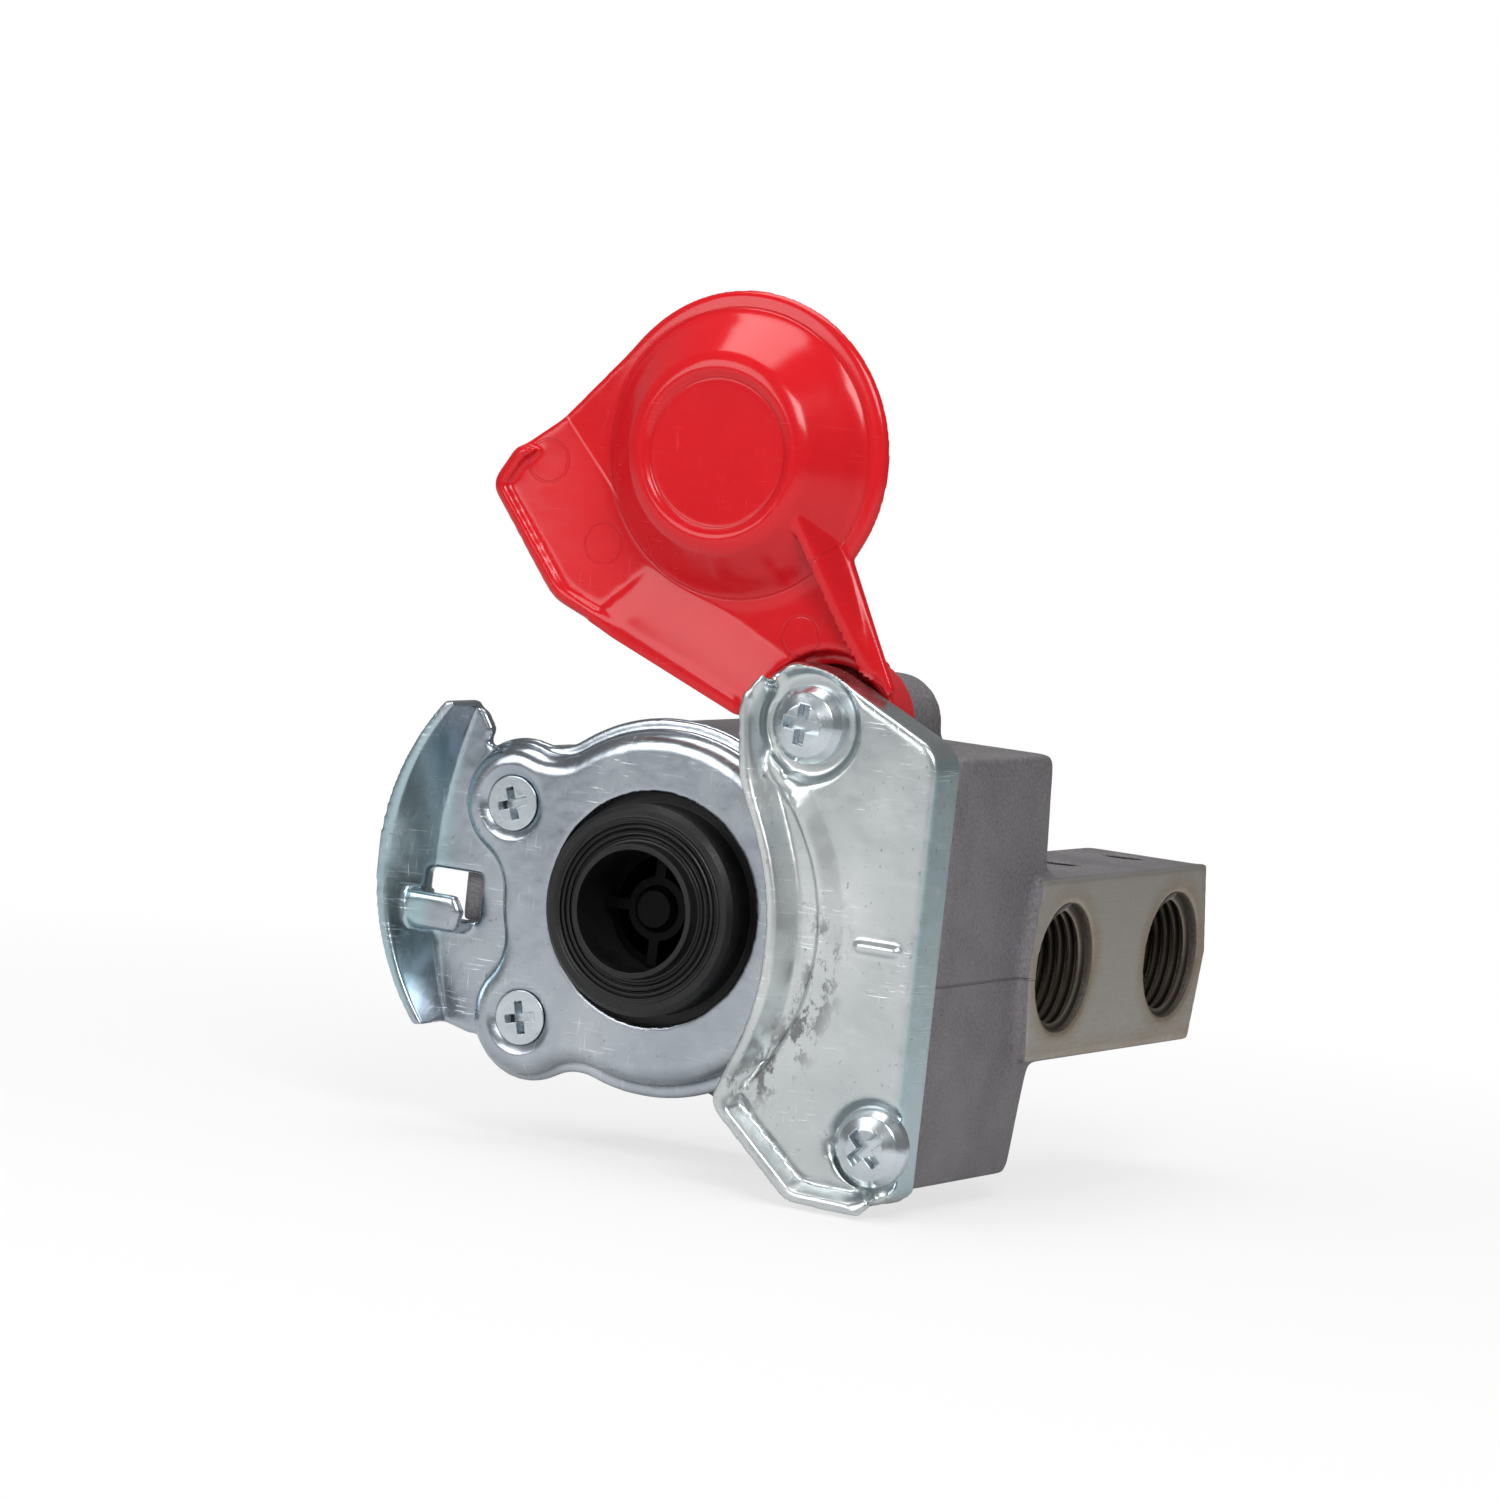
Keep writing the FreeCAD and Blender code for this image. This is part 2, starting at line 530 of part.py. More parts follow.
    # Short detent bead pressed into the floor
    bead_x = val("detent_x")
    bead_z = val("detent_z")
    half = val("detent_length") / 2
    bead_r = val("detent_width") / 2
    start = FreeCAD.Vector(bead_x - half, floor + bead_r - val("detent_height"), bead_z)
    bead = Part.makeCylinder(bead_r, 2 * half, start, X_AXIS)
    bead = bead.makeFillet(bead_r * 0.6, [e for e in bead.Edges if e.BoundBox.XLength < 0.01])
    shape = shape.fuse(bead)
    return solid_feature("guide_bracket", shape)


def sloped_cut(points, region):
    """Cut a prism by the plane through three points, keeping the side away from the viewer."""
    a, b, c = points
    normal = b.sub(a).cross(c.sub(a))
    normal.normalize()
    if normal.y > 0:
        normal = normal * -1.0
    size = 400.0
    plate = Part.makePlane(size, size)
    plate.translate(FreeCAD.Vector(-size / 2, -size / 2, 0))
    plate.Placement = FreeCAD.Placement(a, FreeCAD.Rotation(FreeCAD.Vector(0, 0, 1),
                                                            normal)).multiply(plate.Placement)
    return region.cut(plate.extrude(normal * 40.0))


def build_cover():
    """Moulded cover, shown open: cap with a raised disc, web, tail, rolled lip, fin and hub."""
    px, pz = PIVOT
    cx = CAP.x
    cz = CAP.z
    back = -val("cover_back")
    wall = val("cover_wall")
    web = back - wall
    lip = -val("cover_lip_stand")
    cap_r = val("cap_r")
    crest = val("cap_crest_r")
    disc = val("cap_disc_r")
    depth = -val("cap_depth")
    hub_r = val("hub_r")
    clear_r = hub_r + val("skirt_gap")

    # Cap: brim, concave cone, rounded crest and a slightly sunk disc, of even wall
    cap_outer = [(0.0, back), (cap_r, back), (cap_r, web + 0.9), (cap_r - 0.8, web),
                 (cap_r - 3.0, web - 0.2),
                 (cap_r - 4.2, web - 1.2), (cap_r - 6.0, web - 3.2), (crest + 1.3, depth + 0.7),
                 (crest, depth),
                 (crest - 1.2, depth - 0.3), (disc + 0.4, depth - 0.1), (disc, depth + val("cap_groove")),
                 (0.0, depth + val("cap_groove"))]
    cap_inner = [(0.0, depth + wall), (crest - 0.4, depth + wall), (crest + 3.4, depth + 5.6),
                 (cap_r - 5.4, web - 0.2), (cap_r - 4.6, back + THROUGH), (0.0, back + THROUGH)]

    # Plan of the web: tail corner, lower edge and the shoulder beside the hub
    to_left = polar(cx, cz, cap_r - 0.4, 136.0)
    to_right = polar(cx, cz, cap_r - 0.4, -33.0)
    tail_top = (cx - 34.0, cz + 2.4)
    tail_high = (cx - 41.9, cz - 3.7)
    tail_tip = (cx - 45.9, cz - 10.1)
    lower = (px - 52.6, pz + 14.3)
    shoulder = (px - 15.4, pz - 0.6)
    root = polar(px, pz, 13.6, 30.0)
    plan = rounded([(to_left.x, to_left.z, 0), (to_right.x, to_right.z, 0), (root.x, root.z, 1.0),
                    (px + 2.0, pz - 3.0, 0), (shoulder[0], shoulder[1], 1.0), (lower[0], lower[1], 9.0),
                    (tail_tip[0], tail_tip[1], 3.5), (tail_high[0], tail_high[1], 4.0),
                    (tail_top[0], tail_top[1], 6.0)])
    shape = prism(plan, web, back)

    # Two raised faces meet the web at a crease and climb to the lip
    crease_top = (tail_top[0] + 0.8, tail_top[1] - 0.3)
    crease_mid = (px - 33.7, pz + 22.9)
    crease_end = (px - 5.0, pz + 8.6)
    band_foot = (lower[0] + 7.0, lower[1] - 2.8)
    tail_face = [crease_top, tail_high, tail_tip, lower, band_foot, crease_mid]
    band_face = [crease_mid, band_foot, shoulder, crease_end]
    slopes = ((tail_face, (crease_top, crease_mid, lower)), (band_face, (crease_mid, crease_end, shoulder)))
    for face, plane in slopes:
        region = prism(rounded([(x, z, 0) for x, z in face]),
                       lip - 3.0, back).common(prism(plan, lip - 3.0, back))
        levels = (web, web, lip + 0.5)
        points = [FreeCAD.Vector(x, y, z) for (x, z), y in zip(plane, levels)]
        shape = shape.fuse(sloped_cut(points, region))

    # Lip along the tail and the lower edge
    inner_plan = offset(plan, -val("lip_width"))
    edge = 1.0
    lip_edge = offset(plan, -edge)
    lip_edge.translate(FreeCAD.Vector(0, lip, 0))
    lip_foot = plan.copy()
    lip_foot.translate(FreeCAD.Vector(0, lip + edge, 0))
    lip_ring = prism(plan, lip + edge, back).fuse(Part.makeLoft([lip_edge, lip_foot], True, True))
    lip_ring = lip_ring.cut(prism(inner_plan, lip - THROUGH, back + THROUGH))
    lip_zone = rounded([(tail_tip[0] - 8.0, tail_high[1] + 0.5, 0),
                        (tail_high[0] + 4.0, tail_high[1] + 0.5, 0),
                        (lower[0] + 5.0, lower[1] + 6.0, 0), (shoulder[0] - 0.5, shoulder[1] + 4.5, 0),
                        (shoulder[0] + 1.0, shoulder[1] - 6.0, 0), (lower[0] - 14.0, lower[1] - 12.0, 0)])
    lip_wall = lip_ring.common(prism(lip_zone, lip - THROUGH, back + THROUGH))
    shape = shape.fuse(lip_wall)

    # The web stops short of the bracket's skirt
    shape = shape.cut(drum(px, pz, clear_r, lip - 2.0, back + THROUGH))

    # Hub behind the skirt, open to the front for its spring, with a collar up to the web
    front = val("hub_front")
    rear = val("boss_front") - val("pivot_washer_thick") - 0.05
    hub = drum(px, pz, hub_r, front, rear)
    hub = hub.makeFillet(0.8, edges_at(hub, front))
    collar_back = front + 2.4
    start = val("collar_start_deg")
    sweep = val("collar_end_deg") - start
    collar = spun([(clear_r, web), (val("collar_r"), web), (val("collar_r"), collar_back),
                   (hub_r - 0.8, collar_back), (hub_r - 0.8, front),
                   (clear_r, front)], px, pz, start, sweep)
    shape = shape.fuse([hub, collar])

    # Fin: a leaning wall from the cone down to the web's corner beside the hub
    lean = FreeCAD.Vector(-0.859, 0, -0.512) * val("fin_thick")
    high_front = FreeCAD.Vector(cx + 13.6, depth + 0.4, cz - 4.8)
    high_rear = FreeCAD.Vector(cx + 21.3, back, cz - 13.2)
    low_front = FreeCAD.Vector(px + 6.6, back - 2.1, pz + 9.6)
    low_rear = FreeCAD.Vector(px + 12.2, back - 0.1, pz + 6.8)
    sections = []
    for a, b in ((high_front, high_rear), (low_front, low_rear)):
        sections.append(Part.makePolygon([a, b, b.add(lean), a.add(lean), a]))
    shape = shape.fuse(Part.makeLoft(sections, True, True))

    cap = spun(cap_outer, cx, cz)
    shape = shape.fuse(cap).cut(spun(cap_inner, cx, cz))
    cavity = drum(px, pz, hub_r - val("hub_wall"), front - THROUGH, rear - val("hub_wall"))
    bore = drum(px, pz, val("sleeve_r") + val("hub_bore_gap"), front - THROUGH, rear + THROUGH)
    shape = shape.cut(cavity).cut(bore)
    return solid_feature("cover", shape)


def cast_edges(shape):
    """Numbers of the long straight edges of the side block and the port block."""
    found = []
    for number, edge in enumerate(shape.Edges, start=1):
        box = edge.BoundBox
        along_x = box.YLength < 0.01 and box.ZLength < 0.01 and box.XLength > 20.0
        along_z = box.XLength < 0.01 and box.YLength < 6.0 and box.ZLength > 12.0
        far_end = box.YMin > val("port_end") - 1.0
        block_rear = box.YMin > val("block_back") - 4.0 and abs(box.ZMin) > 30.0
        side_rear = abs(box.XMin - val("block_side_x")) < 0.01 and box.XLength < 0.01 and box.YMin > 36.0
        if (along_x and (far_end or block_rear)) or (along_z and far_end) or side_rear:
            found.append(number)
    return found


def build_housing():
    """Die-cast body: round valve barrel, side block, pivot boss and the two-port block."""
    body = doc.addObject("PartDesign::Body", "housing")

    def pad(name, corners, front, back):
        sketch = new_sketch(body, name + "_plan", "XZ_Plane", "-1 * (%s)" % front)
        outline(sketch, corners)
        return extruded(body, "Pad", name, sketch, "(%s) - (%s)" % (back, front), True)

    def pad_round(name, x, z, radius, front, back):
        sketch = new_sketch(body, name + "_plan", "XZ_Plane", "-1 * (%s)" % front)
        circle(sketch, x, z, radius)
        return extruded(body, "Pad", name, sketch, "(%s) - (%s)" % (back, front), True)

    def bore(name, x, z, radius, front, back):
        sketch = new_sketch(body, name + "_plan", "XZ_Plane", "-1 * (%s)" % front)
        circle(sketch, x, z, radius)
        return extruded(body, "Pocket", name, sketch, "(%s) - (%s)" % (back, front), False)

    plate_back = "plate_drop + plate_thick"
    pad_round("barrel", "0", "0", "body_r", plate_back, "body_back")
    pad_round("nose", "0", "0", "body_pad_r", "plate_thick", plate_back + " + 1")
    for index, (x, z) in enumerate(PLATE_SCREWS, start=1):
        pad_round("lobe_%d" % index, x, z, "body_lobe_r", plate_back, "body_lobe_back")
        pad_round("lobe_nose_%d" % index, x, z, "plate_lobe_r - plate_thick - 1.3", "plate_thick",
                  plate_back + " + 1")

    # Side block and the raised pad that the bracket's skirt stands on
    side = new_sketch(body, "side_block_plan", "YZ_Plane", "block_inner_x")
    outline(side, [("block_front", "block_bottom"), ("block_back - rear_draft_low", "block_bottom"),
                   ("block_back", "port_bottom - gusset_rise"), ("block_back + 2.2", "port_bottom + 2"),
                   ("block_back", "port_top + 4"), ("block_back - rear_draft_high", "block_top"),
                   ("block_front", "block_top")])
    extruded(body, "Pad", "side_block", side, "block_side_x - block_inner_x", False)
    corner = new_sketch(body, "block_corner_plan", "XZ_Plane", "-1 * (block_front - 1)")
    outline(corner, [("block_inner_x - 1", "0.8 - body_r"), ("block_inner_x - 1", "block_bottom - 1"),
                     ("block_inner_x + 17", "block_bottom - 1")])
    extruded(body, "Pocket", "block_corner", corner, "block_back - block_front + 6", False)
    pad("claw_lug", [("hole_lug_x", "claw_hole_z - 5"), ("-0.8 * body_r", "claw_hole_z - 5"),
                     ("-0.8 * body_r", "claw_hole_z + 6"), ("hole_lug_x", "claw_hole_z + 6")],
        plate_back, plate_back + " + 7")
    pad("front_pad", [("block_pad_x", "block_bottom"), ("block_side_x", "block_bottom"),
                      ("block_side_x", "block_top"), ("block_pad_x + 7", "block_top"),
                      ("block_pad_x", "block_top - 14")], "0", "block_front + 1")
    pad_round("pivot_boss", "pivot_x", "pivot_z", "boss_r", "boss_front", "boss_back")
    pad("boss_web", [("pivot_x - boss_r", "pivot_z"), ("pivot_x - boss_r", "block_top - 6"),
                     ("pivot_x + boss_r", "block_top - 6"), ("pivot_x + boss_r", "pivot_z")],
        "boss_front", "boss_back")
    boss_low = "corner_screw_z - corner_boss_half"
    boss_high = "corner_screw_z + corner_boss_half"
    boss_left = "corner_screw_x - corner_boss_half - 1"
    pad("corner_boss", [(boss_left, boss_low), ("corner_boss_flat", boss_low),
                        ("corner_boss_flat", boss_high),
                        (boss_left, boss_high)], "sheet_thick - bracket_groove", "1")

    # Port block: drafted both ways from its middle, with a pointed far end
    top_sketch = new_sketch(body, "port_block_plan", "YZ_Plane", "port_inner_x")
    outline(top_sketch, [("port_start", "port_bottom"), ("port_end", "port_bottom"),
                         ("port_end + port_nose", "port_axis_z"), ("port_end", "port_top"),
                         ("port_start", "port_top"), ("port_start - 2.4", "port_axis_z")])
    extruded(body, "Pad", "port_block", top_sketch, "port_face_x - port_inner_x", False)
    gusset = new_sketch(body, "gusset_plan", "YZ_Plane", "port_inner_x")
    outline(gusset, [("block_back - 6", "port_bottom - gusset_rise - 3"),
                     ("block_back - 1", "port_bottom - gusset_rise - 3"),
                     ("block_back + 5.5", "port_bottom + 1"), ("block_back + 5.5", "port_top - 1"),
                     ("block_back + 3", "port_top + 2.6"), ("block_back", "port_top + gusset_rise + 4"),
                     ("block_back - 6", "port_top + gusset_rise + 4")])
    extruded(body, "Pad", "gusset", gusset, "block_side_x - port_inner_x - 2", False)
    doc.recompute()

    # Cast edges are rounded before anything is machined
    cast = body.Tip
    rounds = body.newObject("PartDesign::Fillet", "block_rounds")
    rounds.Base = (cast, ["Edge%d" % number for number in cast_edges(cast.Shape)])
    rounds.setExpression("Radius", on_sheet("cast_round"))
    doc.recompute()

    # Seal seat, valve bore and the two port bores with the channel that joins them
    seat_back = "plate_thick + seal_flange_thick"
    bore("seal_seat", "0", "0", "seal_flange_r + seal_seat_gap", "plate_thick - 1", seat_back)
    bore("guide_seat", "0", "0", "guide_flange_r + bore_gap", "plate_thick - 1",
         seat_back + " + guide_flange_thick")
    bore("valve_bore", "0", "0", "valve_bore_r", "plate_thick - 1", "valve_bore_end")
    for index, centre in enumerate(("port_1_y", "port_2_y"), start=1):
        port = new_sketch(body, "port_%d_plan" % index, "YZ_Plane", "port_face_x")
        circle(port, centre, "port_axis_z", "port_r")
        extruded(body, "Pocket", "port_%d" % index, port, "port_depth", False)
        core = new_sketch(body, "port_core_%d_plan" % index, "YZ_Plane", "port_face_x")
        circle(core, centre, "port_axis_z", "port_core_r")
        extruded(body, "Pocket", "port_core_%d" % index, core, "port_depth + 4", False)
    channel = new_sketch(body, "channel_plan", "XZ_Plane", "-1 * (valve_bore_end - 9)")
    circle(channel, "port_face_x - port_depth - channel_behind_port", "port_axis_z", "port_channel_r")
    extruded(body, "Pocket", "channel", channel, "port_2_y - valve_bore_end + 9", False)
    cross = new_sketch(body, "cross_channel_plan", "YZ_Plane", "port_face_x - port_depth - channel_behind_port")
    circle(cross, "valve_bore_end - 7", "port_axis_z", "port_channel_r")
    extruded(body, "Pocket", "cross_channel", cross, "port_face_x - port_depth - channel_behind_port", False)

    # Screw holes and the mounting holes in the top of the port block
    for index, (x, z) in enumerate(PLATE_SCREWS, start=1):
        bore("plate_screw_hole_%d" % index, x, z, "csk_shank_r", "plate_thick - 1", "csk_length")
        bore("plate_screw_seat_%d" % index, x, z, "csk_head_r - 0.6", "plate_thick - 1",
             "csk_head_sink + csk_head_depth")
    bore("pivot_screw_hole", "pivot_x", "pivot_z", "pan_shank_r", "boss_front - 1",
         "boss_front + pivot_screw_grip + 1")
    bore("corner_screw_hole", "corner_screw_x", "corner_screw_z", "pan_shank_r",
         "sheet_thick - bracket_groove - 1", "bracket_screw_length - bracket_groove + 1")
    for index in (1, 2):
        hole = new_sketch(body, "mount_hole_%d_plan" % index, "XY_Plane", "port_top")
        circle(hole, "mount_hole_x", "mount_hole_%d_y" % index, "mount_hole_r")
        extruded(body, "Pocket", "mount_hole_%d" % index, hole, "mount_hole_%d_depth" % index, False)

    # Room for the cover's hub in front of the pivot boss
    bore("hub_room", "pivot_x", "pivot_z", "collar_r + skirt_gap", "-1", "boss_front")
    return keep(body, "housing")


def build_seal():
    """Rubber seal ring: stepped outer wall, raised lip and fine grooves in its face."""
    face = "-1 * seal_stand"
    lip = "-1 * seal_lip_stand"
    back = "plate_thick + seal_flange_thick"
    flange = "plate_thick"
    corners = [("seal_bore_r", back), ("seal_bore_r", lip), ("seal_bore_r + seal_lip_width * 0.7", lip),
               ("seal_bore_r + seal_lip_width", face)]
    for index in range(3):
        start = "seal_bore_r + seal_lip_width + 0.8 + %d * seal_groove_step" % index
        corners += [(start, face), (start, face + " + seal_groove_depth"),
                    (start + " + seal_groove_width", face + " + seal_groove_depth"),
                    (start + " + seal_groove_width", face)]
    corners += [("seal_outer_r - seal_edge_round", face), ("seal_outer_r", face + " + seal_edge_round"),
                ("seal_outer_r", flange), ("seal_flange_r", flange), ("seal_flange_r", back)]
    turned("seal_ring", corners)


def build_valve():
    """Guide with four ribs, plunger with its rubber disc, return spring and spring plate."""
    flange_front = "plate_thick + seal_flange_thick"
    flange_back = flange_front + " + guide_flange_thick"
    o_in = "valve_bore_r - 2 * o_ring_wire_r"
    guide = turned("valve_guide", [
        ("guide_bore_r", flange_front), ("guide_flange_r", flange_front), ("guide_flange_r", flange_back),
        ("guide_tube_r", flange_back), ("guide_tube_r", "o_ring_y - o_ring_wire_r - 0.1"),
        (o_in + " - 0.05", "o_ring_y - o_ring_wire_r - 0.1"),
        (o_in + " - 0.05", "o_ring_y + o_ring_wire_r + 0.1"),
        ("guide_tube_r", "o_ring_y + o_ring_wire_r + 0.1"), ("guide_tube_r", "guide_end"),
        ("guide_bore_r", "guide_end")])
    for name, u, v in (("ribs_across", "guide_bore_r + 0.5", "guide_rib_width / 2"),
                       ("ribs_upright", "guide_rib_width / 2", "guide_bore_r + 0.5")):
        ribs = new_sketch(guide, name + "_plan", "XZ_Plane", "-1 * guide_rib_front")
        outline(ribs, [("-1 * (%s)" % u, "-1 * (%s)" % v), (u, "-1 * (%s)" % v), (u, v),
                       ("-1 * (%s)" % u, v)])
        extruded(guide, "Pad", name, ribs, "o_ring_y - guide_rib_front", True)
    hub = new_sketch(guide, "hub_plan", "XZ_Plane", "-1 * guide_rib_front")
    circle(hub, "0", "0", "guide_hub_r")
    extruded(guide, "Pad", "hub", hub, "o_ring_y - guide_rib_front", True)
    hole = new_sketch(guide, "hub_hole_plan", "XZ_Plane", "1 - guide_rib_front")
    circle(hole, "0", "0", "stem_r + stem_gap")
    extruded(guide, "Pocket", "hub_hole", hole, "o_ring_y + 2", False)

    turned("guide_o_ring", [
        (o_in + " + 0.02", "o_ring_y - o_ring_wire_r * 0.5"), (o_in + " + 0.3", "o_ring_y - o_ring_wire_r"),
        ("valve_bore_r - 0.3", "o_ring_y - o_ring_wire_r"),
        ("valve_bore_r - 0.02", "o_ring_y - o_ring_wire_r * 0.5"),
        ("valve_bore_r - 0.02", "o_ring_y + o_ring_wire_r * 0.5"),
        ("valve_bore_r - 0.3", "o_ring_y + o_ring_wire_r"),
        (o_in + " + 0.3", "o_ring_y + o_ring_wire_r"),
        (o_in + " + 0.02", "o_ring_y + o_ring_wire_r * 0.5")])

    disc_front = "guide_end + valve_seat_gap"
    disc_back = disc_front + " + disc_thick"
    head_back = disc_back + " + valve_head_thick"
    turned("valve_plunger", [
        ("0", "stem_front"), ("stem_r - 0.8", "stem_front"), ("stem_r", "stem_front + 0.8"),
        ("stem_r", disc_front + " - disc_washer_thick"),
        ("disc_inner_r", disc_front + " - disc_washer_thick"),
        ("disc_inner_r", disc_back), ("valve_head_r", disc_back), ("valve_head_r", head_back),
        ("valve_spigot_r", head_back), ("valve_spigot_r", head_back + " + valve_spigot_length"),
        ("0", head_back + " + valve_spigot_length")])
    turned("valve_disc", [("disc_inner_r", disc_front), ("disc_r", disc_front), ("disc_r", disc_back),
                          ("disc_inner_r", disc_back)])
    turned("disc_washer", [("disc_inner_r", disc_front + " - disc_washer_thick"),
                           ("disc_washer_r", disc_front + " - disc_washer_thick"),
                           ("disc_washer_r", disc_front),
                           ("disc_inner_r", disc_front)])
    plate_front = "valve_bore_end - spring_plate_thick"
    spring_start = head_back + " + valve_spring_wire_r + 0.05"
    spring_height = "(%s) - (%s) - 2 * valve_spring_wire_r - 0.1" % (plate_front, head_back)
    helix_coil("valve_spring", "valve_spring_r", "valve_spring_wire_r",
               "(%s) / valve_spring_turns" % spring_height, spring_height, spring_start)
    turned("spring_plate", [("valve_spigot_r", plate_front), ("valve_bore_r - bore_gap", plate_front),
                            ("valve_bore_r - bore_gap", "valve_bore_end"),
                            ("valve_spigot_r", "valve_bore_end")])


def build_fasteners():
    """Two countersunk plate screws, two pan screws, and what turns on the pivot screw."""
    sink = "csk_head_sink"
    for index, (x, z) in enumerate(PLATE_SCREWS, start=1):
        label = ("plate_screw_upper", "plate_screw_lower")[index - 1]
        screw = turned(label, [("0", sink), ("csk_head_r", sink), ("csk_head_r", sink + " + 0.3"),
                               ("csk_shank_r", sink + " + csk_head_depth"),
                               ("csk_shank_r", "csk_length - 1"),
                               ("csk_shank_r - 0.8", "csk_length - 0.2"), ("0", "csk_length - 0.2")], x, z)
        cross_recess(screw, label, sink, (19.0, 13.5)[index - 1], "csk_recess")

    seat = "-1 * bracket_groove"
    top = "-1 * (bracket_groove + pan_head_height)"
    for label, x, z, end, turn_deg in (
            ("pivot_screw", "pivot_x", "pivot_z", "boss_front + pivot_screw_grip", -5.5),
            ("bracket_screw", "corner_screw_x", "corner_screw_z",
            "bracket_screw_length - bracket_groove", 45.0)):
        screw = turned(label, [("0", top), ("pan_head_r * 0.5", top + " + pan_crown * 0.2"),
                               ("pan_head_r * 0.82", top + " + pan_crown"),
                               ("pan_head_r", top + " + pan_crown * 2.1"),
                               ("pan_head_r", seat), ("pan_shank_r", seat), ("pan_shank_r", end + " - 0.8"),
                               ("pan_shank_r - 0.8", end), ("0", end)], x, z)
        cross_recess(screw, label, top, turn_deg, "pan_recess")

    turned("pivot_sleeve", [("sleeve_r - sleeve_wall", seat + " + sheet_thick"),
                            ("sleeve_r", seat + " + sheet_thick"),
                            ("sleeve_r", "boss_front"), ("sleeve_r - sleeve_wall", "boss_front")],
           "pivot_x", "pivot_z")
    turned("pivot_washer", [("sleeve_r + 0.15", "boss_front - pivot_washer_thick"),
                            ("pivot_washer_r", "boss_front - pivot_washer_thick"),
                            ("pivot_washer_r", "boss_front"), ("sleeve_r + 0.15", "boss_front")],
           "pivot_x", "pivot_z")
    coil_start = "sheet_thick - bracket_groove + cover_spring_wire_r + 0.05"
    hub_floor = "boss_front - pivot_washer_thick - hub_wall - 0.1"
    coil_height = "(%s) - (%s) - cover_spring_wire_r" % (hub_floor, coil_start)
    helix_coil("cover_spring", "cover_spring_r", "cover_spring_wire_r",
               "(%s) / cover_spring_turns" % coil_height, coil_height, coil_start, "pivot_x", "pivot_z")


build_housing()
build_front_plate()
build_guide_bracket()
build_cover()
build_seal()
build_valve()
build_fasteners()
doc.recompute()

# Nothing is written unless every feature and every piece is sound
for item in doc.Objects:
    if "Invalid" in item.State or "Error" in item.State:
        raise RuntimeError("%s did not compute" % item.Name)
os.makedirs("parts", exist_ok=True)
for piece in parts:
    if piece.Shape.isNull() or not piece.Shape.isValid() or not piece.Shape.Solids:
        raise RuntimeError("%s has no sound shape" % piece.Label)
    piece.Shape.exportStep("parts/%s.step" % piece.Label)
    box = piece.Shape.BoundBox
    print("%-20s solids %d  volume %9.1f  x %.1f %.1f  y %.1f %.1f  z %.1f %.1f" % (
        piece.Label, len(piece.Shape.Solids), piece.Shape.Volume, box.XMin, box.XMax, box.YMin, box.YMax,
        box.ZMin, box.ZMax))
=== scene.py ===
import math
import bmesh
import bpy
from mathutils import Matrix, Vector


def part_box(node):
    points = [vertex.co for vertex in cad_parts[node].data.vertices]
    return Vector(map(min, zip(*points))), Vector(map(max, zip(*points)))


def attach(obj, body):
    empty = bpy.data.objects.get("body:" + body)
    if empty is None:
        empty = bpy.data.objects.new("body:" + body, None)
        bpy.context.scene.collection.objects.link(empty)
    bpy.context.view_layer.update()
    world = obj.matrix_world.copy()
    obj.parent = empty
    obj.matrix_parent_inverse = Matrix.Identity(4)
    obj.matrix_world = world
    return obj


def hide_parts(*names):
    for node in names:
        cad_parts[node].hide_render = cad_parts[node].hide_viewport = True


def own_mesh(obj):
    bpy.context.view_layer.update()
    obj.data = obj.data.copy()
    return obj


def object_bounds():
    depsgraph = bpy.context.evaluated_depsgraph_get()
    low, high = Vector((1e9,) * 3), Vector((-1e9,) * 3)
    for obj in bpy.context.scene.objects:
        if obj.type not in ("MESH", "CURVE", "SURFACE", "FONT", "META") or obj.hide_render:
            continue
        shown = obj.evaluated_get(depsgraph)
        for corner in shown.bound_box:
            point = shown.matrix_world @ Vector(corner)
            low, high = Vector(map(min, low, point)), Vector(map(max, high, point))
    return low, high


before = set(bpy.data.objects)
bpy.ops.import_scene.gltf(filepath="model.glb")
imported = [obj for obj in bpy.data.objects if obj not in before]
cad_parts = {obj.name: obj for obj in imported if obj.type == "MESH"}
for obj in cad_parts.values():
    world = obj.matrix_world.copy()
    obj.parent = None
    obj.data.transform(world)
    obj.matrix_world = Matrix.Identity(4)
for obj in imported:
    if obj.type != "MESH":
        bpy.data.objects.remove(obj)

cad_box = [list(corner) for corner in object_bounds()]
MM = 0.001


# Cast housing: one die-casting of grey aluminium with a sand-like skin and softly broken edges.
# The port face is milled bright and stained, and a faint parting line runs along the side.

def shader_group(name, inputs, outputs):
    """An empty node group with named number sockets, its input node and its output node."""
    group = bpy.data.node_groups.new(name, "ShaderNodeTree")
    for label, value in inputs:
        socket = group.interface.new_socket(name=label, in_out="INPUT", socket_type="NodeSocketFloat")
        socket.default_value = value
    for label in outputs:
        group.interface.new_socket(name=label, in_out="OUTPUT", socket_type="NodeSocketFloat")
    return group, group.nodes.new("NodeGroupInput"), group.nodes.new("NodeGroupOutput")


def feed(tree, socket, value):
    """Link a socket to another socket, or give it a constant."""
    if isinstance(value, bpy.types.NodeSocket):
        tree.links.new(value, socket)
    elif isinstance(value, tuple) and len(socket.default_value) == 4:
        socket.default_value = (*value, 1.0)
    else:
        socket.default_value = value


def maths(tree, operation, first, second=0.0):
    node = tree.nodes.new("ShaderNodeMath")
    node.operation = operation
    feed(tree, node.inputs[0], first)
    feed(tree, node.inputs[1], second)
    return node.outputs[0]


def plus(tree, first, second):
    return maths(tree, "ADD", first, second)


def minus(tree, first, second):
    return maths(tree, "SUBTRACT", first, second)


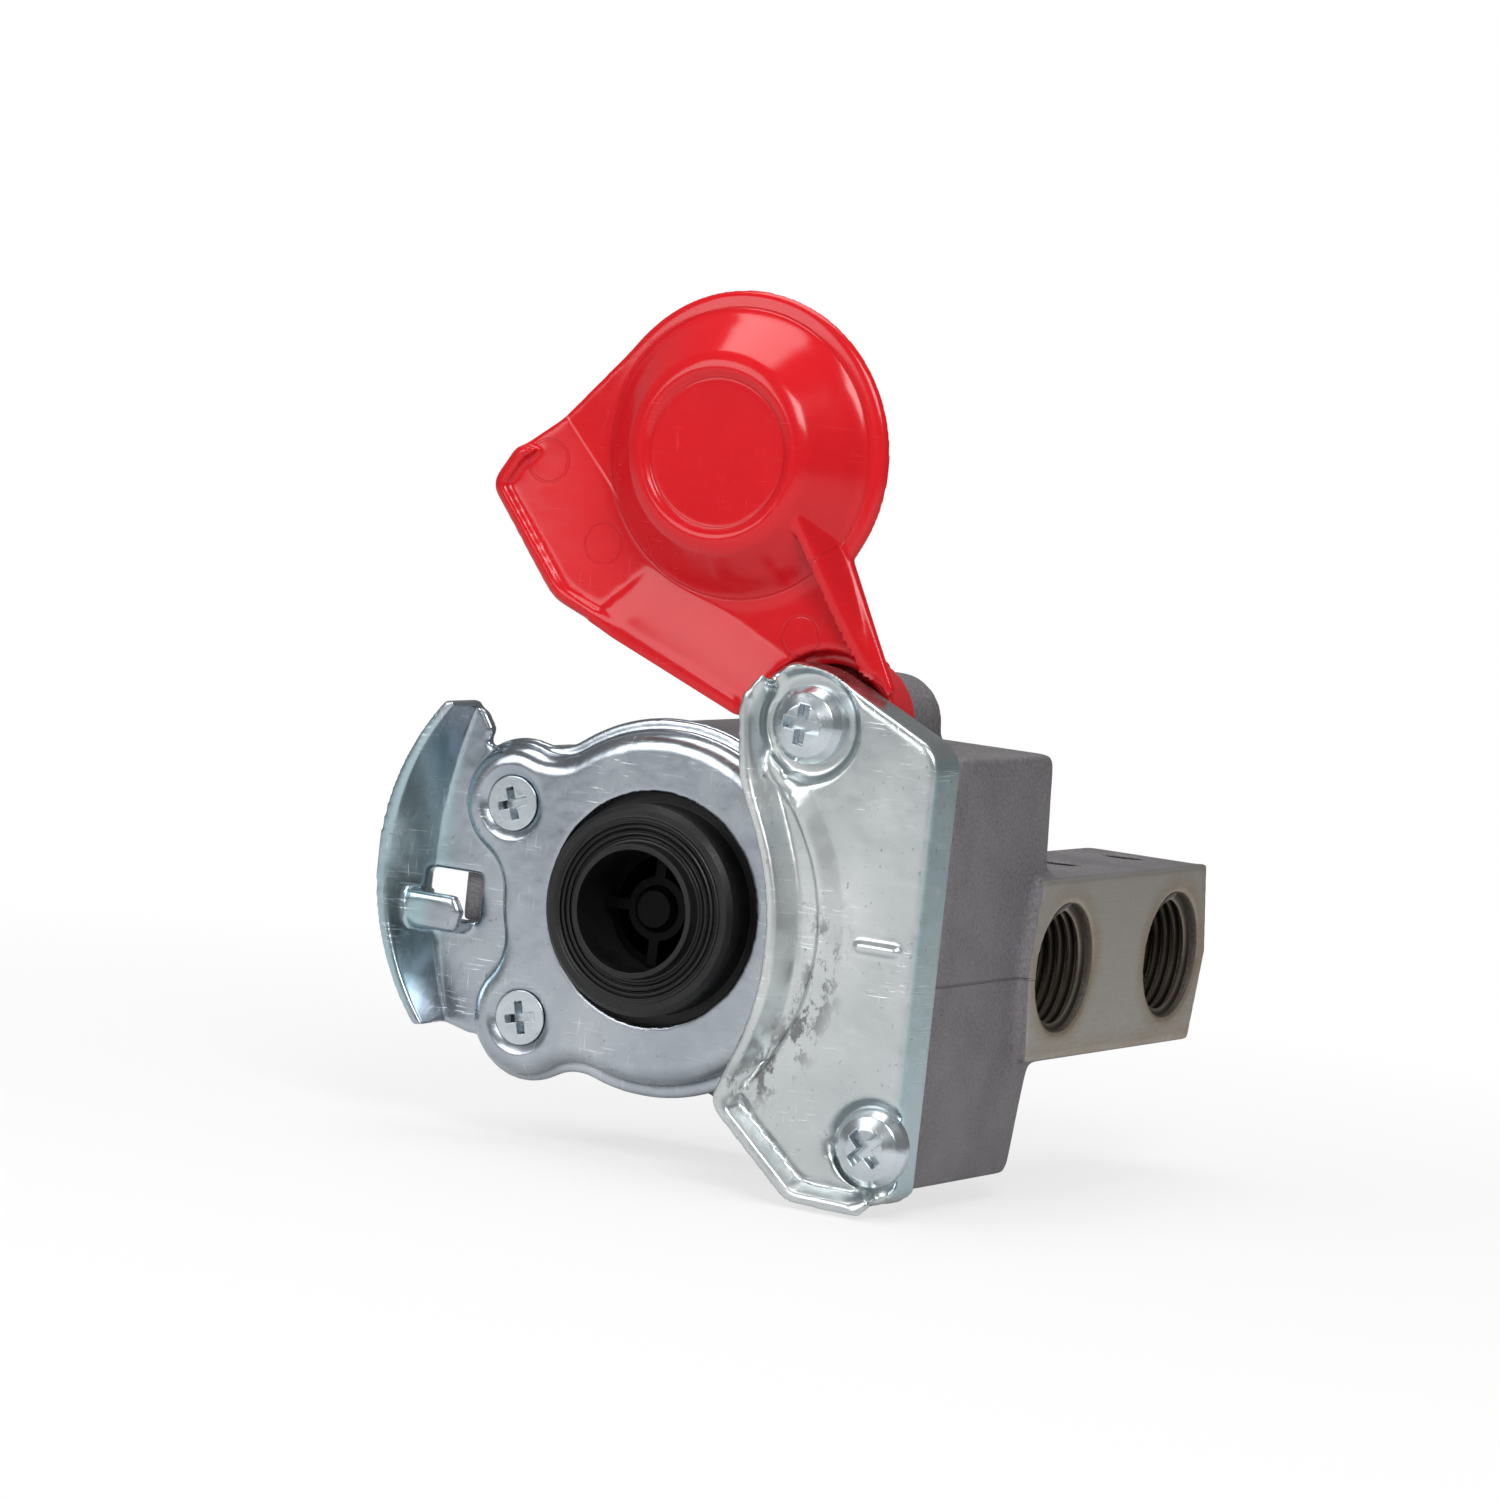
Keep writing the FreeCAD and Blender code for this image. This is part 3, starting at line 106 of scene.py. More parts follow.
def times(tree, first, second):
    return maths(tree, "MULTIPLY", first, second)


def distance(tree, across, up):
    """How far a point lies from an axis, from its two distances square to each other."""
    return maths(tree, "SQRT", plus(tree, times(tree, across, across), times(tree, up, up)))


def climb(tree, value, low, high):
    """0 at low, 1 at high, a straight climb between and level beyond."""
    node = tree.nodes.new("ShaderNodeMapRange")
    feed(tree, node.inputs["Value"], value)
    node.inputs["From Min"].default_value = low
    node.inputs["From Max"].default_value = high
    return node.outputs["Result"]


def noise(tree, vector, scale, detail=4.0, roughness=0.55):
    node = tree.nodes.new("ShaderNodeTexNoise")
    node.inputs["Detail"].default_value = detail
    node.inputs["Roughness"].default_value = roughness
    feed(tree, node.inputs["Scale"], scale)
    tree.links.new(vector, node.inputs["Vector"])
    return node.outputs["Fac"]


def mixed(tree, factor, first, second):
    """A colour between two colours or sockets."""
    node = tree.nodes.new("ShaderNodeMix")
    node.data_type = "RGBA"
    feed(tree, node.inputs[0], factor)
    feed(tree, node.inputs[6], first)
    feed(tree, node.inputs[7], second)
    return node.outputs[2]


def object_point(tree, scale=(1.0, 1.0, 1.0), tilt=0.0):
    """Object coordinates, turned about Y and then stretched."""
    source = tree.nodes.new("ShaderNodeTexCoord")
    mapping = tree.nodes.new("ShaderNodeMapping")
    mapping.inputs["Rotation"].default_value = (0.0, tilt, 0.0)
    mapping.inputs["Scale"].default_value = scale
    tree.links.new(source.outputs["Object"], mapping.inputs["Vector"])
    return mapping.outputs["Vector"]


def split_point(tree):
    """The X, Y and Z of the object coordinates as three sockets."""
    source = tree.nodes.new("ShaderNodeTexCoord")
    split = tree.nodes.new("ShaderNodeSeparateXYZ")
    tree.links.new(source.outputs["Object"], split.inputs[0])
    return split.outputs["X"], split.outputs["Y"], split.outputs["Z"]


def build_skin_group():
    """Grain and blotches of a cast, plated or moulded skin."""
    group, source, result = shader_group(
        "skin", [("Grain Scale", 1200.0), ("Blotch Scale", 60.0)], ["Grain", "Blotches"])
    grain = noise(group, object_point(group), source.outputs["Grain Scale"], 3.0, 0.6)
    blotches = noise(group, object_point(group), source.outputs["Blotch Scale"], 4.0, 0.6)
    group.links.new(climb(group, grain, 0.3, 0.7), result.inputs["Grain"])
    group.links.new(climb(group, blotches, 0.35, 0.68), result.inputs["Blotches"])
    return group


def build_hole_group():
    """The inside of a drilled hole along Z, at a place in X and Y, from its top to its depth."""
    group, source, result = shader_group(
        "hole", [("X", 0.0), ("Y", 0.0), ("Radius", 0.003), ("Top", 0.0), ("Depth", 0.01)], ["Inside"])
    x, y, z = split_point(group)
    top = source.outputs["Top"]
    reach = distance(group, minus(group, x, source.outputs["X"]), minus(group, y, source.outputs["Y"]))
    within = maths(group, "LESS_THAN", reach, source.outputs["Radius"])
    below_top = maths(group, "LESS_THAN", z, top)
    above_end = maths(group, "GREATER_THAN", z, minus(group, top, source.outputs["Depth"]))
    group.links.new(times(group, times(group, within, below_top), above_end), result.inputs["Inside"])
    return group


skin_group = build_skin_group()
hole_group = build_hole_group()


def group_node(tree, group, values):
    node = tree.nodes.new("ShaderNodeGroup")
    node.node_tree = group
    for name, value in values.items():
        node.inputs[name].default_value = value
    return node.outputs


def new_material(name, metallic, roughness):
    """A material with its tree and its Principled shader."""
    material = bpy.data.materials.new(name)
    material.use_nodes = True
    shader = material.node_tree.nodes["Principled BSDF"]
    shader.inputs["Metallic"].default_value = metallic
    shader.inputs["Roughness"].default_value = roughness
    return material, material.node_tree, shader


def set_relief(tree, shader, height, depth, edge=0.0):
    """Bump from a height, over edges that catch the light as if rounded by this radius."""
    bump = tree.nodes.new("ShaderNodeBump")
    bump.inputs["Distance"].default_value = depth
    tree.links.new(height, bump.inputs["Height"])
    if edge:
        rounding = tree.nodes.new("ShaderNodeBevel")
        rounding.samples = 6
        rounding.inputs["Radius"].default_value = edge
        tree.links.new(rounding.outputs["Normal"], bump.inputs["Normal"])
    tree.links.new(bump.outputs["Normal"], shader.inputs["Normal"])


def paint(obj, material):
    obj.data.materials.clear()
    obj.data.materials.append(material)


MOST_TRIANGLES = 185000
MERGE_REACH = 0.001 * MM
EASED_TURNS = 40


def applied(piece):
    """The piece's mesh with its modifiers made real, and the modifiers taken off."""
    bpy.context.view_layer.update()
    mesh = bpy.data.meshes.new_from_object(piece.evaluated_get(bpy.context.evaluated_depsgraph_get()))
    piece.modifiers.clear()
    return mesh


def merged_copy(node, name):
    """A copy of a CAD node whose triangles share their corners."""
    copy = bpy.data.objects.new(name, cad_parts[node].data.copy())
    bpy.context.scene.collection.objects.link(copy)
    work = bmesh.new()
    work.from_mesh(copy.data)
    bmesh.ops.remove_doubles(work, verts=work.verts, dist=MERGE_REACH)
    work.to_mesh(copy.data)
    work.free()
    return copy


def relax(work, verts, turns):
    """Draw each point towards its neighbours, turn after turn."""
    for turn in range(turns):
        bmesh.ops.smooth_vert(work, verts=verts, factor=0.5,
                              use_axis_x=True, use_axis_y=True, use_axis_z=True)


def soft_copy(node, name, voxel, turns, crisp=None, shaped=None, eased=()):
    """A copy of a CAD node whose edges are relaxed, as castings, pressings and mouldings have them.

    crisp says which points keep their place, shaped is called on the points first, and eased
    lists the X, Z and radius, in millimetres, of places that are relaxed further.
    """
    copy = merged_copy(node, name)
    even = copy.modifiers.new("even_faces", "REMESH")
    even.mode = "VOXEL"
    even.voxel_size = voxel
    even.use_smooth_shade = True
    mesh = applied(copy)
    work = bmesh.new()
    work.from_mesh(mesh)
    if shaped:
        shaped(work.verts)
    loose = [vert for vert in work.verts if not (crisp and crisp(vert.co))]
    relax(work, loose, turns)
    for x, z, radius in eased:
        near = [vert for vert in loose if math.hypot(vert.co.x - x * MM, vert.co.z - z * MM) < radius * MM]
        relax(work, near, EASED_TURNS)
    work.to_mesh(mesh)
    work.free()
    copy.data = mesh
    fewer = copy.modifiers.new("fewer_faces", "DECIMATE")
    fewer.ratio = min(1.0, MOST_TRIANGLES / (2.0 * len(mesh.polygons)))
    copy.data = applied(copy)
    copy.data.shade_smooth()
    return copy


PORT_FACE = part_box("housing")[1][0]
PORT_AXIS_Z = -3.9 * MM
PORT_AXES_Y = (45.4 * MM, 89.9 * MM)
BORE_SHADE_R = 11.2 * MM
BLOCK_TOP = 11.7 * MM
PARTING_Z = -5.2 * MM
HOLE_X = 44.0 * MM
HOLES_Y = (65.0 * MM, 92.6 * MM)
HOLE_SHADE = {"X": HOLE_X, "Radius": 3.9 * MM, "Top": BLOCK_TOP - 0.4 * MM, "Depth": 12.0 * MM}


def port_reach(tree, y, z):
    """Distance from the axis of the nearer port."""
    across = [maths(tree, "ABSOLUTE", minus(tree, y, centre_y)) for centre_y in PORT_AXES_Y]
    return distance(tree, maths(tree, "MINIMUM", *across), minus(tree, z, PORT_AXIS_Z))


def parting_line(tree, x, y, z):
    """The die's parting line along the side, in front of the ports' block."""
    gap = maths(tree, "ABSOLUTE", minus(tree, z, PARTING_Z))
    side = times(tree, climb(tree, x, 40 * MM, 50 * MM), climb(tree, y, 34 * MM, 33 * MM))
    return times(tree, climb(tree, gap, 0.28 * MM, 0.1 * MM), side)


def milled_face(tree, y, z, reach):
    """Fine cutter lines, and oil-brown stains round the bores, at the rear end and the lower edge."""
    rims = climb(tree, reach, 15.5 * MM, 11.5 * MM)
    ends = maths(tree, "MAXIMUM", climb(tree, y, 98 * MM, 106 * MM), climb(tree, z, -15 * MM, -20 * MM))
    cloud = climb(tree, noise(tree, object_point(tree), 70.0, 4.0), 0.40, 0.60)
    cloud = plus(tree, times(tree, cloud, 0.6), 0.4)
    stain = times(tree, maths(tree, "MAXIMUM", rims, ends), cloud)
    lines = noise(tree, object_point(tree, (1.0, 1.0, 30.0)), 90.0, 2.0)
    bright = mixed(tree, times(tree, stain, 0.9), (0.37, 0.35, 0.32), (0.27, 0.185, 0.095))
    return mixed(tree, times(tree, climb(tree, lines, 0.4, 0.7), 0.2), bright, (0.48, 0.46, 0.44))


def cast_aluminium():
    """Grey grainy skin, darker inside the bores and drilled holes as painted shade, and bright where it is
    milled.
    """
    material, tree, shader = new_material("cast_aluminium", 0.25, 0.6)
    skin = group_node(tree, skin_group, {"Grain Scale": 1500.0, "Blotch Scale": 55.0})
    x, y, z = split_point(tree)
    reach = port_reach(tree, y, z)
    line = parting_line(tree, x, y, z)
    body = mixed(tree, skin["Blotches"], (0.115, 0.108, 0.117), (0.185, 0.175, 0.187))
    body = mixed(tree, times(tree, skin["Grain"], 0.5), body, (0.31, 0.295, 0.30))
    body = mixed(tree, times(tree, line, 0.45), body, (0.06, 0.056, 0.06))
    # Painted shade: the bores behind the rim and the drilled holes are darkened inside
    behind_rim = climb(tree, x, 38 * MM, 40 * MM)
    bore = times(tree, climb(tree, reach, BORE_SHADE_R + 0.2 * MM, BORE_SHADE_R), behind_rim)
    body = mixed(tree, bore, body, (0.075, 0.062, 0.050))
    for centre_y in HOLES_Y:
        hole = group_node(tree, hole_group, {**HOLE_SHADE, "Y": centre_y})
        body = mixed(tree, hole["Inside"], body, (0.02, 0.018, 0.018))
    milled = climb(tree, x, PORT_FACE - 0.3 * MM, PORT_FACE - 0.15 * MM)
    colour = mixed(tree, milled, body, milled_face(tree, y, z, reach))
    tree.links.new(colour, shader.inputs["Base Color"])
    rough = plus(tree, times(tree, skin["Grain"], 0.2), 0.45)
    tree.links.new(minus(tree, rough, times(tree, milled, 0.15)), shader.inputs["Roughness"])
    tree.links.new(plus(tree, times(tree, milled, 0.4), 0.25), shader.inputs["Metallic"])
    grain = times(tree, skin["Grain"], minus(tree, 1.0, times(tree, milled, 0.9)))
    set_relief(tree, shader, minus(tree, grain, times(tree, line, 2.0)), 0.10 * MM)
    return material


def cut_metal():
    """Oily turned metal of the threads, bright at their crests and near black at their roots as painted
    shade.
    """
    material, tree, shader = new_material("cut_metal", 0.85, 0.34)
    lines = noise(tree, object_point(tree, (14.0, 1.0, 1.0)), 160.0, 2.0)
    skin = group_node(tree, skin_group, {"Grain Scale": 700.0, "Blotch Scale": 120.0})
    colour = mixed(tree, skin["Blotches"], (0.27, 0.24, 0.20), (0.15, 0.12, 0.085))
    colour = mixed(tree, times(tree, climb(tree, lines, 0.4, 0.7), 0.5), colour, (0.40, 0.38, 0.35))
    x, y, z = split_point(tree)
    # Painted shade: the ridge turns near black towards its roots at the bore wall
    crest_unshaded = climb(tree, port_reach(tree, y, z), 10.5 * MM, 9.9 * MM)
    tree.links.new(mixed(tree, crest_unshaded, (0.05, 0.04, 0.03), colour), shader.inputs["Base Color"])
    set_relief(tree, shader, lines, 0.03 * MM)
    return material


def piece_of(work, name, material, body):
    """A new object from a bmesh, with normals set, riding on a body."""
    bmesh.ops.recalc_face_normals(work, faces=work.faces)
    mesh = bpy.data.meshes.new(name)
    work.to_mesh(mesh)
    work.free()
    piece = bpy.data.objects.new(name, mesh)
    bpy.context.scene.collection.objects.link(piece)
    paint(piece, material)
    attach(piece, body)
    return piece


THREAD_START = PORT_FACE - 0.12 * MM
THREAD_PITCH = 1.8 * MM
THREAD_TURNS = 8
THREAD_STEPS = 72
# Depth behind the thread's start and radius of the ridge's corners, in millimetres
THREAD_RIDGE = ((0.0, 11.1), (1.6, 11.1), (0.95, 9.85), (0.65, 9.85))


def port_thread(name, centre_y, material):
    """The ridge of a tapped thread: a blunt wedge swept along a helix in the bore."""
    work = bmesh.new()
    corners = [work.verts.new((THREAD_START - along * MM, centre_y, PORT_AXIS_Z + radius * MM))
               for along, radius in THREAD_RIDGE]
    section = work.faces.new(corners)
    bmesh.ops.spin(work, geom=[section], cent=(0.0, centre_y, PORT_AXIS_Z), axis=(1.0, 0.0, 0.0),
                   dvec=(-THREAD_PITCH / THREAD_STEPS, 0.0, 0.0), angle=2.0 * math.pi * THREAD_TURNS,
                   steps=THREAD_STEPS * THREAD_TURNS, use_merge=False, use_duplicate=False)
    piece = piece_of(work, name, material, "base")
    piece.data.set_sharp_from_angle(angle=math.radians(30.0))


def machined(point):
    """Points on the milled port face and round the drilled top of the block keep their place."""
    drilled = any(math.hypot(point.x - HOLE_X, point.y - centre_y) < 4.6 * MM for centre_y in HOLES_Y)
    return point.x > PORT_FACE - 0.9 * MM or (drilled and point.z > 0.0)


housing = soft_copy("housing", "housing_casting", 0.6 * MM, 20, crisp=machined)
paint(housing, cast_aluminium())
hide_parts("housing")
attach(housing, "base")
metal = cut_metal()
for index, centre_y in enumerate(PORT_AXES_Y, start=1):
    port_thread("port_thread_%d" % index, centre_y, metal)


# Valve inside the seal: black moulded guide with four ribs, plunger, rubber disc and O-ring.
# The guide drops into the housing behind the seal, and the coil presses the plunger on it.

def build_scratch_group():
    """Hair-fine scratches in three directions, gathered in patches, and scattered dull specks."""
    group, source, result = shader_group("scratches", [("Amount", 0.5)], ["Scratches", "Specks"])
    lines = 0.0
    for stretch, tilt in (((1.0, 1.0, 26.0), 0.5), ((24.0, 1.0, 1.4), -0.35), ((1.6, 1.0, 22.0), 1.2)):
        streak = noise(group, object_point(group, stretch, tilt), 120.0, 2.0, 0.5)
        lines = maths(group, "MAXIMUM", climb(group, streak, 0.64, 0.72), lines)
    patches = climb(group, noise(group, object_point(group), 80.0, 2.0), 0.42, 0.62)
    specks = climb(group, noise(group, object_point(group), 1100.0, 1.0), 0.70, 0.78)
    for name, value in (("Scratches", times(group, lines, patches)), ("Specks", specks)):
        group.links.new(times(group, value, source.outputs["Amount"]), result.inputs[name])
    return group


scratch_group = build_scratch_group()


def dark_skin(name, low, high, roughness, relief, grain, shine):
    """Black moulded plastic or rubber with a fine mottle."""
    material, tree, shader = new_material(name, 0.0, roughness)
    shader.inputs["Specular IOR Level"].default_value = shine
    skin = group_node(tree, skin_group, {"Grain Scale": grain, "Blotch Scale": 110.0})
    tree.links.new(mixed(tree, skin["Blotches"], low, high), shader.inputs["Base Color"])
    rough = plus(tree, times(tree, skin["Blotches"], 0.15), roughness - 0.07)
    tree.links.new(rough, shader.inputs["Roughness"])
    return material, tree, shader, times(tree, skin["Grain"], relief)


def steel(name, colour, roughness, amount, edge):
    """Plated or turned steel with fine scratches."""
    cloudy, worn, pitted = (tuple(min(1.0, share * part) for part in colour) for share in (0.86, 1.25, 0.45))
    material, tree, shader = new_material(name, 1.0, roughness)
    marks = group_node(tree, scratch_group, {"Amount": amount})
    skin = group_node(tree, skin_group, {"Grain Scale": 900.0, "Blotch Scale": 160.0})
    finish = mixed(tree, skin["Blotches"], colour, cloudy)
    finish = mixed(tree, marks["Scratches"], finish, worn)
    tree.links.new(mixed(tree, marks["Specks"], finish, pitted), shader.inputs["Base Color"])
    rough = plus(tree, times(tree, skin["Blotches"], 0.1), roughness)
    tree.links.new(rough, shader.inputs["Roughness"])
    set_relief(tree, shader, minus(tree, skin["Grain"], marks["Scratches"]), 0.008 * MM, edge)
    return material


plastic, tree, shader, height = dark_skin(
    "black_plastic", (0.0008, 0.0008, 0.0009), (0.002, 0.002, 0.002),
    roughness=0.5, relief=1.0, grain=2500.0, shine=0.1)
set_relief(tree, shader, height, 0.02 * MM)
rubber, tree, shader, height = dark_skin(
    "black_rubber", (0.004, 0.004, 0.0045), (0.009, 0.0088, 0.009),
    roughness=0.5, relief=1.0, grain=1800.0, shine=0.3)
set_relief(tree, shader, height, 0.03 * MM)
plain_steel = steel("plain_steel", (0.40, 0.40, 0.41), 0.32, 0.5, 0.0)
for part in ("valve_guide", "valve_plunger"):
    paint(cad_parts[part], plastic)
for part in ("guide_o_ring", "valve_disc"):
    paint(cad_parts[part], rubber)
for part in ("disc_washer", "spring_plate", "cover_spring", "pivot_sleeve", "pivot_washer"):
    paint(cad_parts[part], plain_steel)

# The coil behind the plunger: a merged copy of the valve spring, with a mesh of its own
coil = merged_copy("valve_spring", "valve_coil")
paint(coil, plain_steel)
coil.data.set_sharp_from_angle(angle=math.radians(40.0))
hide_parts("valve_spring")
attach(coil, "base")
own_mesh(coil)


# Face seal: moulded black rubber ring, held by its flange behind the front plate.
# Its face has fine concentric ribs between a raised lip round the bore and a plain outer band.

RIB_PITCH = 0.6 * MM


def ribbed_rubber():
    """Black rubber with concentric ribs on the middle band of its face."""
    material, tree, shader, height = dark_skin(
        "ribbed_rubber", (0.0045, 0.0045, 0.005), (0.010, 0.0097, 0.010),
        roughness=0.42, relief=0.12, grain=1800.0, shine=0.4)
    x, y, z = split_point(tree)
    reach = distance(tree, x, z)
    wave = maths(tree, "SINE", times(tree, reach, 2.0 * math.pi / RIB_PITCH))
    band = times(tree, climb(tree, reach, 11.7 * MM, 12.0 * MM), climb(tree, reach, 16.0 * MM, 15.7 * MM))
    front = climb(tree, y, -4.2 * MM, -4.5 * MM)
    ribs = times(tree, times(tree, wave, band), front)
    set_relief(tree, shader, plus(tree, times(tree, ribs, 0.5), height), 0.16 * MM, 0.25 * MM)
    return material


paint(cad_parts["seal_ring"], ribbed_rubber())


# Front plate and guide bracket: pressed from steel sheet and zinc plated, so every bend is soft.
# The plating is pale with a bluish cast, fine scratches, dull specks, dark rub marks and painted reflection
# on claw and skirt.

def zinc_plating(name, colour, cloud, roughness, reflection_and_rubbing):
    """Zinc plating; the last argument gives the mask and colour of a painted reflection, and the mask of the
    dark rubbing.
    """
    material, tree, shader = new_material(name, 1.0, roughness)
    marks = group_node(tree, scratch_group, {"Amount": 1.0})
    skin = group_node(tree, skin_group, {"Grain Scale": 420.0, "Blotch Scale": 38.0})
    plating = mixed(tree, skin["Blotches"], colour, cloud)
    reflection_mask, reflection_tint, rubbed = reflection_and_rubbing(tree, *split_point(tree))
    # Painted reflection: a blue-green colour on the claw of the plate and the skirt of the bracket
    plating = mixed(tree, reflection_mask, plating, reflection_tint)
    plating = mixed(tree, times(tree, marks["Scratches"], 0.7), plating, (0.80, 0.84, 0.86))
    plating = mixed(tree, times(tree, marks["Specks"], 0.45), plating, (0.14, 0.15, 0.16))
    plating = mixed(tree, rubbed, plating, (0.10, 0.095, 0.10))
    tree.links.new(plating, shader.inputs["Base Color"])
    dull = plus(tree, times(tree, skin["Blotches"], 0.10), times(tree, rubbed, 0.3))
    tree.links.new(plus(tree, dull, roughness - 0.04), shader.inputs["Roughness"])
    waves = noise(tree, object_point(tree), 150.0, 2.0)
    height = plus(tree, times(tree, skin["Grain"], 0.12), times(tree, waves, 1.6))
    height = minus(tree, height, times(tree, marks["Scratches"], 0.15))
    set_relief(tree, shader, height, 0.10 * MM)
    return material


def plate_reflection_and_rubbing(tree, x, y, z):
    """Painted blue-green reflection on the leaning claw, and light rubbing below the seal."""
    claw = climb(tree, x, -40.5 * MM, -43.5 * MM)
    low = climb(tree, z, -17 * MM, -24 * MM)
    spots = climb(tree, noise(tree, object_point(tree), 240.0, 4.0), 0.60, 0.72)
    return times(tree, claw, 0.75), (0.40, 0.56, 0.60), times(tree, times(tree, low, spots), 0.18)


def bracket_reflection_and_rubbing(tree, x, y, z):
    """Painted blue-green reflection on the folded skirt's side, and dark rubbing where the mating claw
    slides.
    """
    reach = distance(tree, x, z)
    skirt = climb(tree, x, 53.2 * MM, 54.0 * MM)
    track = times(tree, climb(tree, reach, 32.0 * MM, 35.0 * MM), climb(tree, reach, 43.0 * MM, 38.5 * MM))
    middle = times(tree, climb(tree, z, 9.0 * MM, 1.0 * MM), climb(tree, z, -32.0 * MM, -24.0 * MM))
    spots = climb(tree, noise(tree, object_point(tree, (1.0, 1.0, 0.6)), 230.0, 6.0, 0.75), 0.50, 0.56)
    rubbed = times(tree, times(tree, track, middle), spots)
    return times(tree, skirt, 0.7), (0.44, 0.60, 0.65), times(tree, rubbed, 0.75)


# X, Z and radius, in millimetres, of the places where the bracket's rim runs out beside the screws
RIM_ENDS = ((21.8, 41.5, 3.2), (28.4, 24.4, 3.0), (50.2, -39.4, 3.2), (42.0, -32.1, 2.6))
plate_zinc = zinc_plating("plate_zinc", (0.34, 0.38, 0.43), (0.50, 0.54, 0.58), 0.26, plate_reflection_and_rubbing)
bracket_zinc = zinc_plating("bracket_zinc", (0.52, 0.56, 0.57), (0.68, 0.71, 0.71), 0.31, bracket_reflection_and_rubbing)
for node, voxel, turns, eased, material in (
        ("front_plate", 0.36 * MM, 6, (), plate_zinc),
        ("guide_bracket", 0.32 * MM, 8, RIM_ENDS, bracket_zinc)):
    sheet = soft_copy(node, node + "_sheet", voxel, turns, eased=eased)
    paint(sheet, material)
    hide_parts(node)
    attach(sheet, "base")


# Screws: two countersunk heads in the plate and two pan heads in the bracket, all cross recessed.
# They are cold-headed steel with a brighter, more even zinc plating.
screw_zinc = steel("screw_zinc", (0.62, 0.68, 0.72), 0.20, 0.4, 0.35 * MM)
for part in ("plate_screw_upper", "plate_screw_lower", "pivot_screw", "bracket_screw"):
    paint(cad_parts[part], screw_zinc)


# Cover: one glossy red injection moulding that turns on the sleeve of the upper screw.
# Ejector pins leave rings on its web, and a fine step runs round the cap and its disc, drawn darker as a
# painted shade line.

CAP_CENTRE = (8.58, 77.66)
# X, Z, radius and width of the rings, in millimetres: three ejector pins, and two steps of the cap darkened
# as painted shade
PIN_RINGS_AND_STEP_SHADE = ((-27.0, 72.5, 3.6, 0.3), (-15.0, 60.0, 3.4, 0.25), (23.5, 49.0, 3.4, 0.3),
              (*CAP_CENTRE, 12.4, 0.25), (*CAP_CENTRE, 24.2, 0.25))
CREASE_CORNER = (-3.76 * MM, 57.68 * MM)
# The direction across each crease in X and Z, and the slope of the web beyond it
TAIL_CREASE = (-0.731, -0.682, -0.04)
BAND_CREASE = (-0.433, -0.901, 0.13)
CREASE_BLEND = 1.6 * MM
COVER_LIP = -4.6 * MM
COVER_BACK = 0.0
LIP_DEPTH = 2.2 * MM


def build_ring_group():
    """A thin ring about an axis along Y, at a place in X and Z."""
    group, source, result = shader_group(
        "ring", [("X", 0.0), ("Z", 0.0), ("Radius", 0.01), ("Width", 0.0003)], ["Ring"])
    x, y, z = split_point(group)
    reach = distance(group, minus(group, x, source.outputs["X"]), minus(group, z, source.outputs["Z"]))
    gap = maths(group, "ABSOLUTE", minus(group, reach, source.outputs["Radius"]))
    share = maths(group, "DIVIDE", gap, source.outputs["Width"])
    group.links.new(climb(group, share, 1.0, 0.4), result.inputs["Ring"])
    return group


ring_group = build_ring_group()


def tail_crease_ridge_and_highlight(tree, x, y, z):
    """The line where the web's tail bends, painted pale as a highlight and raised as a ridge, on both faces
    of the web above its lower band.
    """
    across = plus(tree, times(tree, minus(tree, x, CREASE_CORNER[0]), TAIL_CREASE[0]),
                  times(tree, minus(tree, z, CREASE_CORNER[1]), TAIL_CREASE[1]))
    line = climb(tree, maths(tree, "ABSOLUTE", across), 0.30 * MM, 0.05 * MM)
    web = times(tree, climb(tree, y, -2.7 * MM, -2.5 * MM), climb(tree, z, 57.0 * MM, 58.5 * MM))
    return times(tree, line, web)


def red_plastic():
    """Glossy red with faint clouds and scratches, dark pin marks, painted shade at the cap's steps and a
    painted crease highlight.
    """
    material, tree, shader = new_material("red_plastic", 0.0, 0.2)
    shader.inputs["Specular IOR Level"].default_value = 0.36
    skin = group_node(tree, skin_group, {"Grain Scale": 240.0, "Blotch Scale": 30.0})
    marks = group_node(tree, scratch_group, {"Amount": 0.4})
    crease = tail_crease_ridge_and_highlight(tree, *split_point(tree))
    rings_and_step_shade = 0.0
    for ring_x, ring_z, radius, width in PIN_RINGS_AND_STEP_SHADE:
        ring = group_node(tree, ring_group, {
            "X": ring_x * MM, "Z": ring_z * MM, "Radius": radius * MM, "Width": width * MM})
        rings_and_step_shade = maths(tree, "MAXIMUM", ring["Ring"], rings_and_step_shade)
    colour = mixed(tree, skin["Blotches"], (0.54, 0.006, 0.011), (0.61, 0.008, 0.014))
    colour = mixed(tree, times(tree, marks["Scratches"], 0.2), colour, (0.75, 0.10, 0.10))
    # Painted highlight: a pale line along the tail's crease
    colour = mixed(tree, times(tree, crease, 0.5), colour, (0.80, 0.16, 0.16))
    # Painted shade: dark lines at the cap's steps; the pin rings on the web are real marks
    colour = mixed(tree, times(tree, rings_and_step_shade, 0.25), colour, (0.36, 0.004, 0.008))
    tree.links.new(colour, shader.inputs["Base Color"])
    rough = plus(tree, times(tree, marks["Scratches"], 0.3), 0.17)
    tree.links.new(rough, shader.inputs["Roughness"])
    wavy = plus(tree, times(tree, skin["Grain"], 0.1), times(tree, skin["Blotches"], 0.6))
    set_relief(tree, shader, plus(tree, minus(tree, wavy, rings_and_step_shade), crease), 0.07 * MM)
    return material


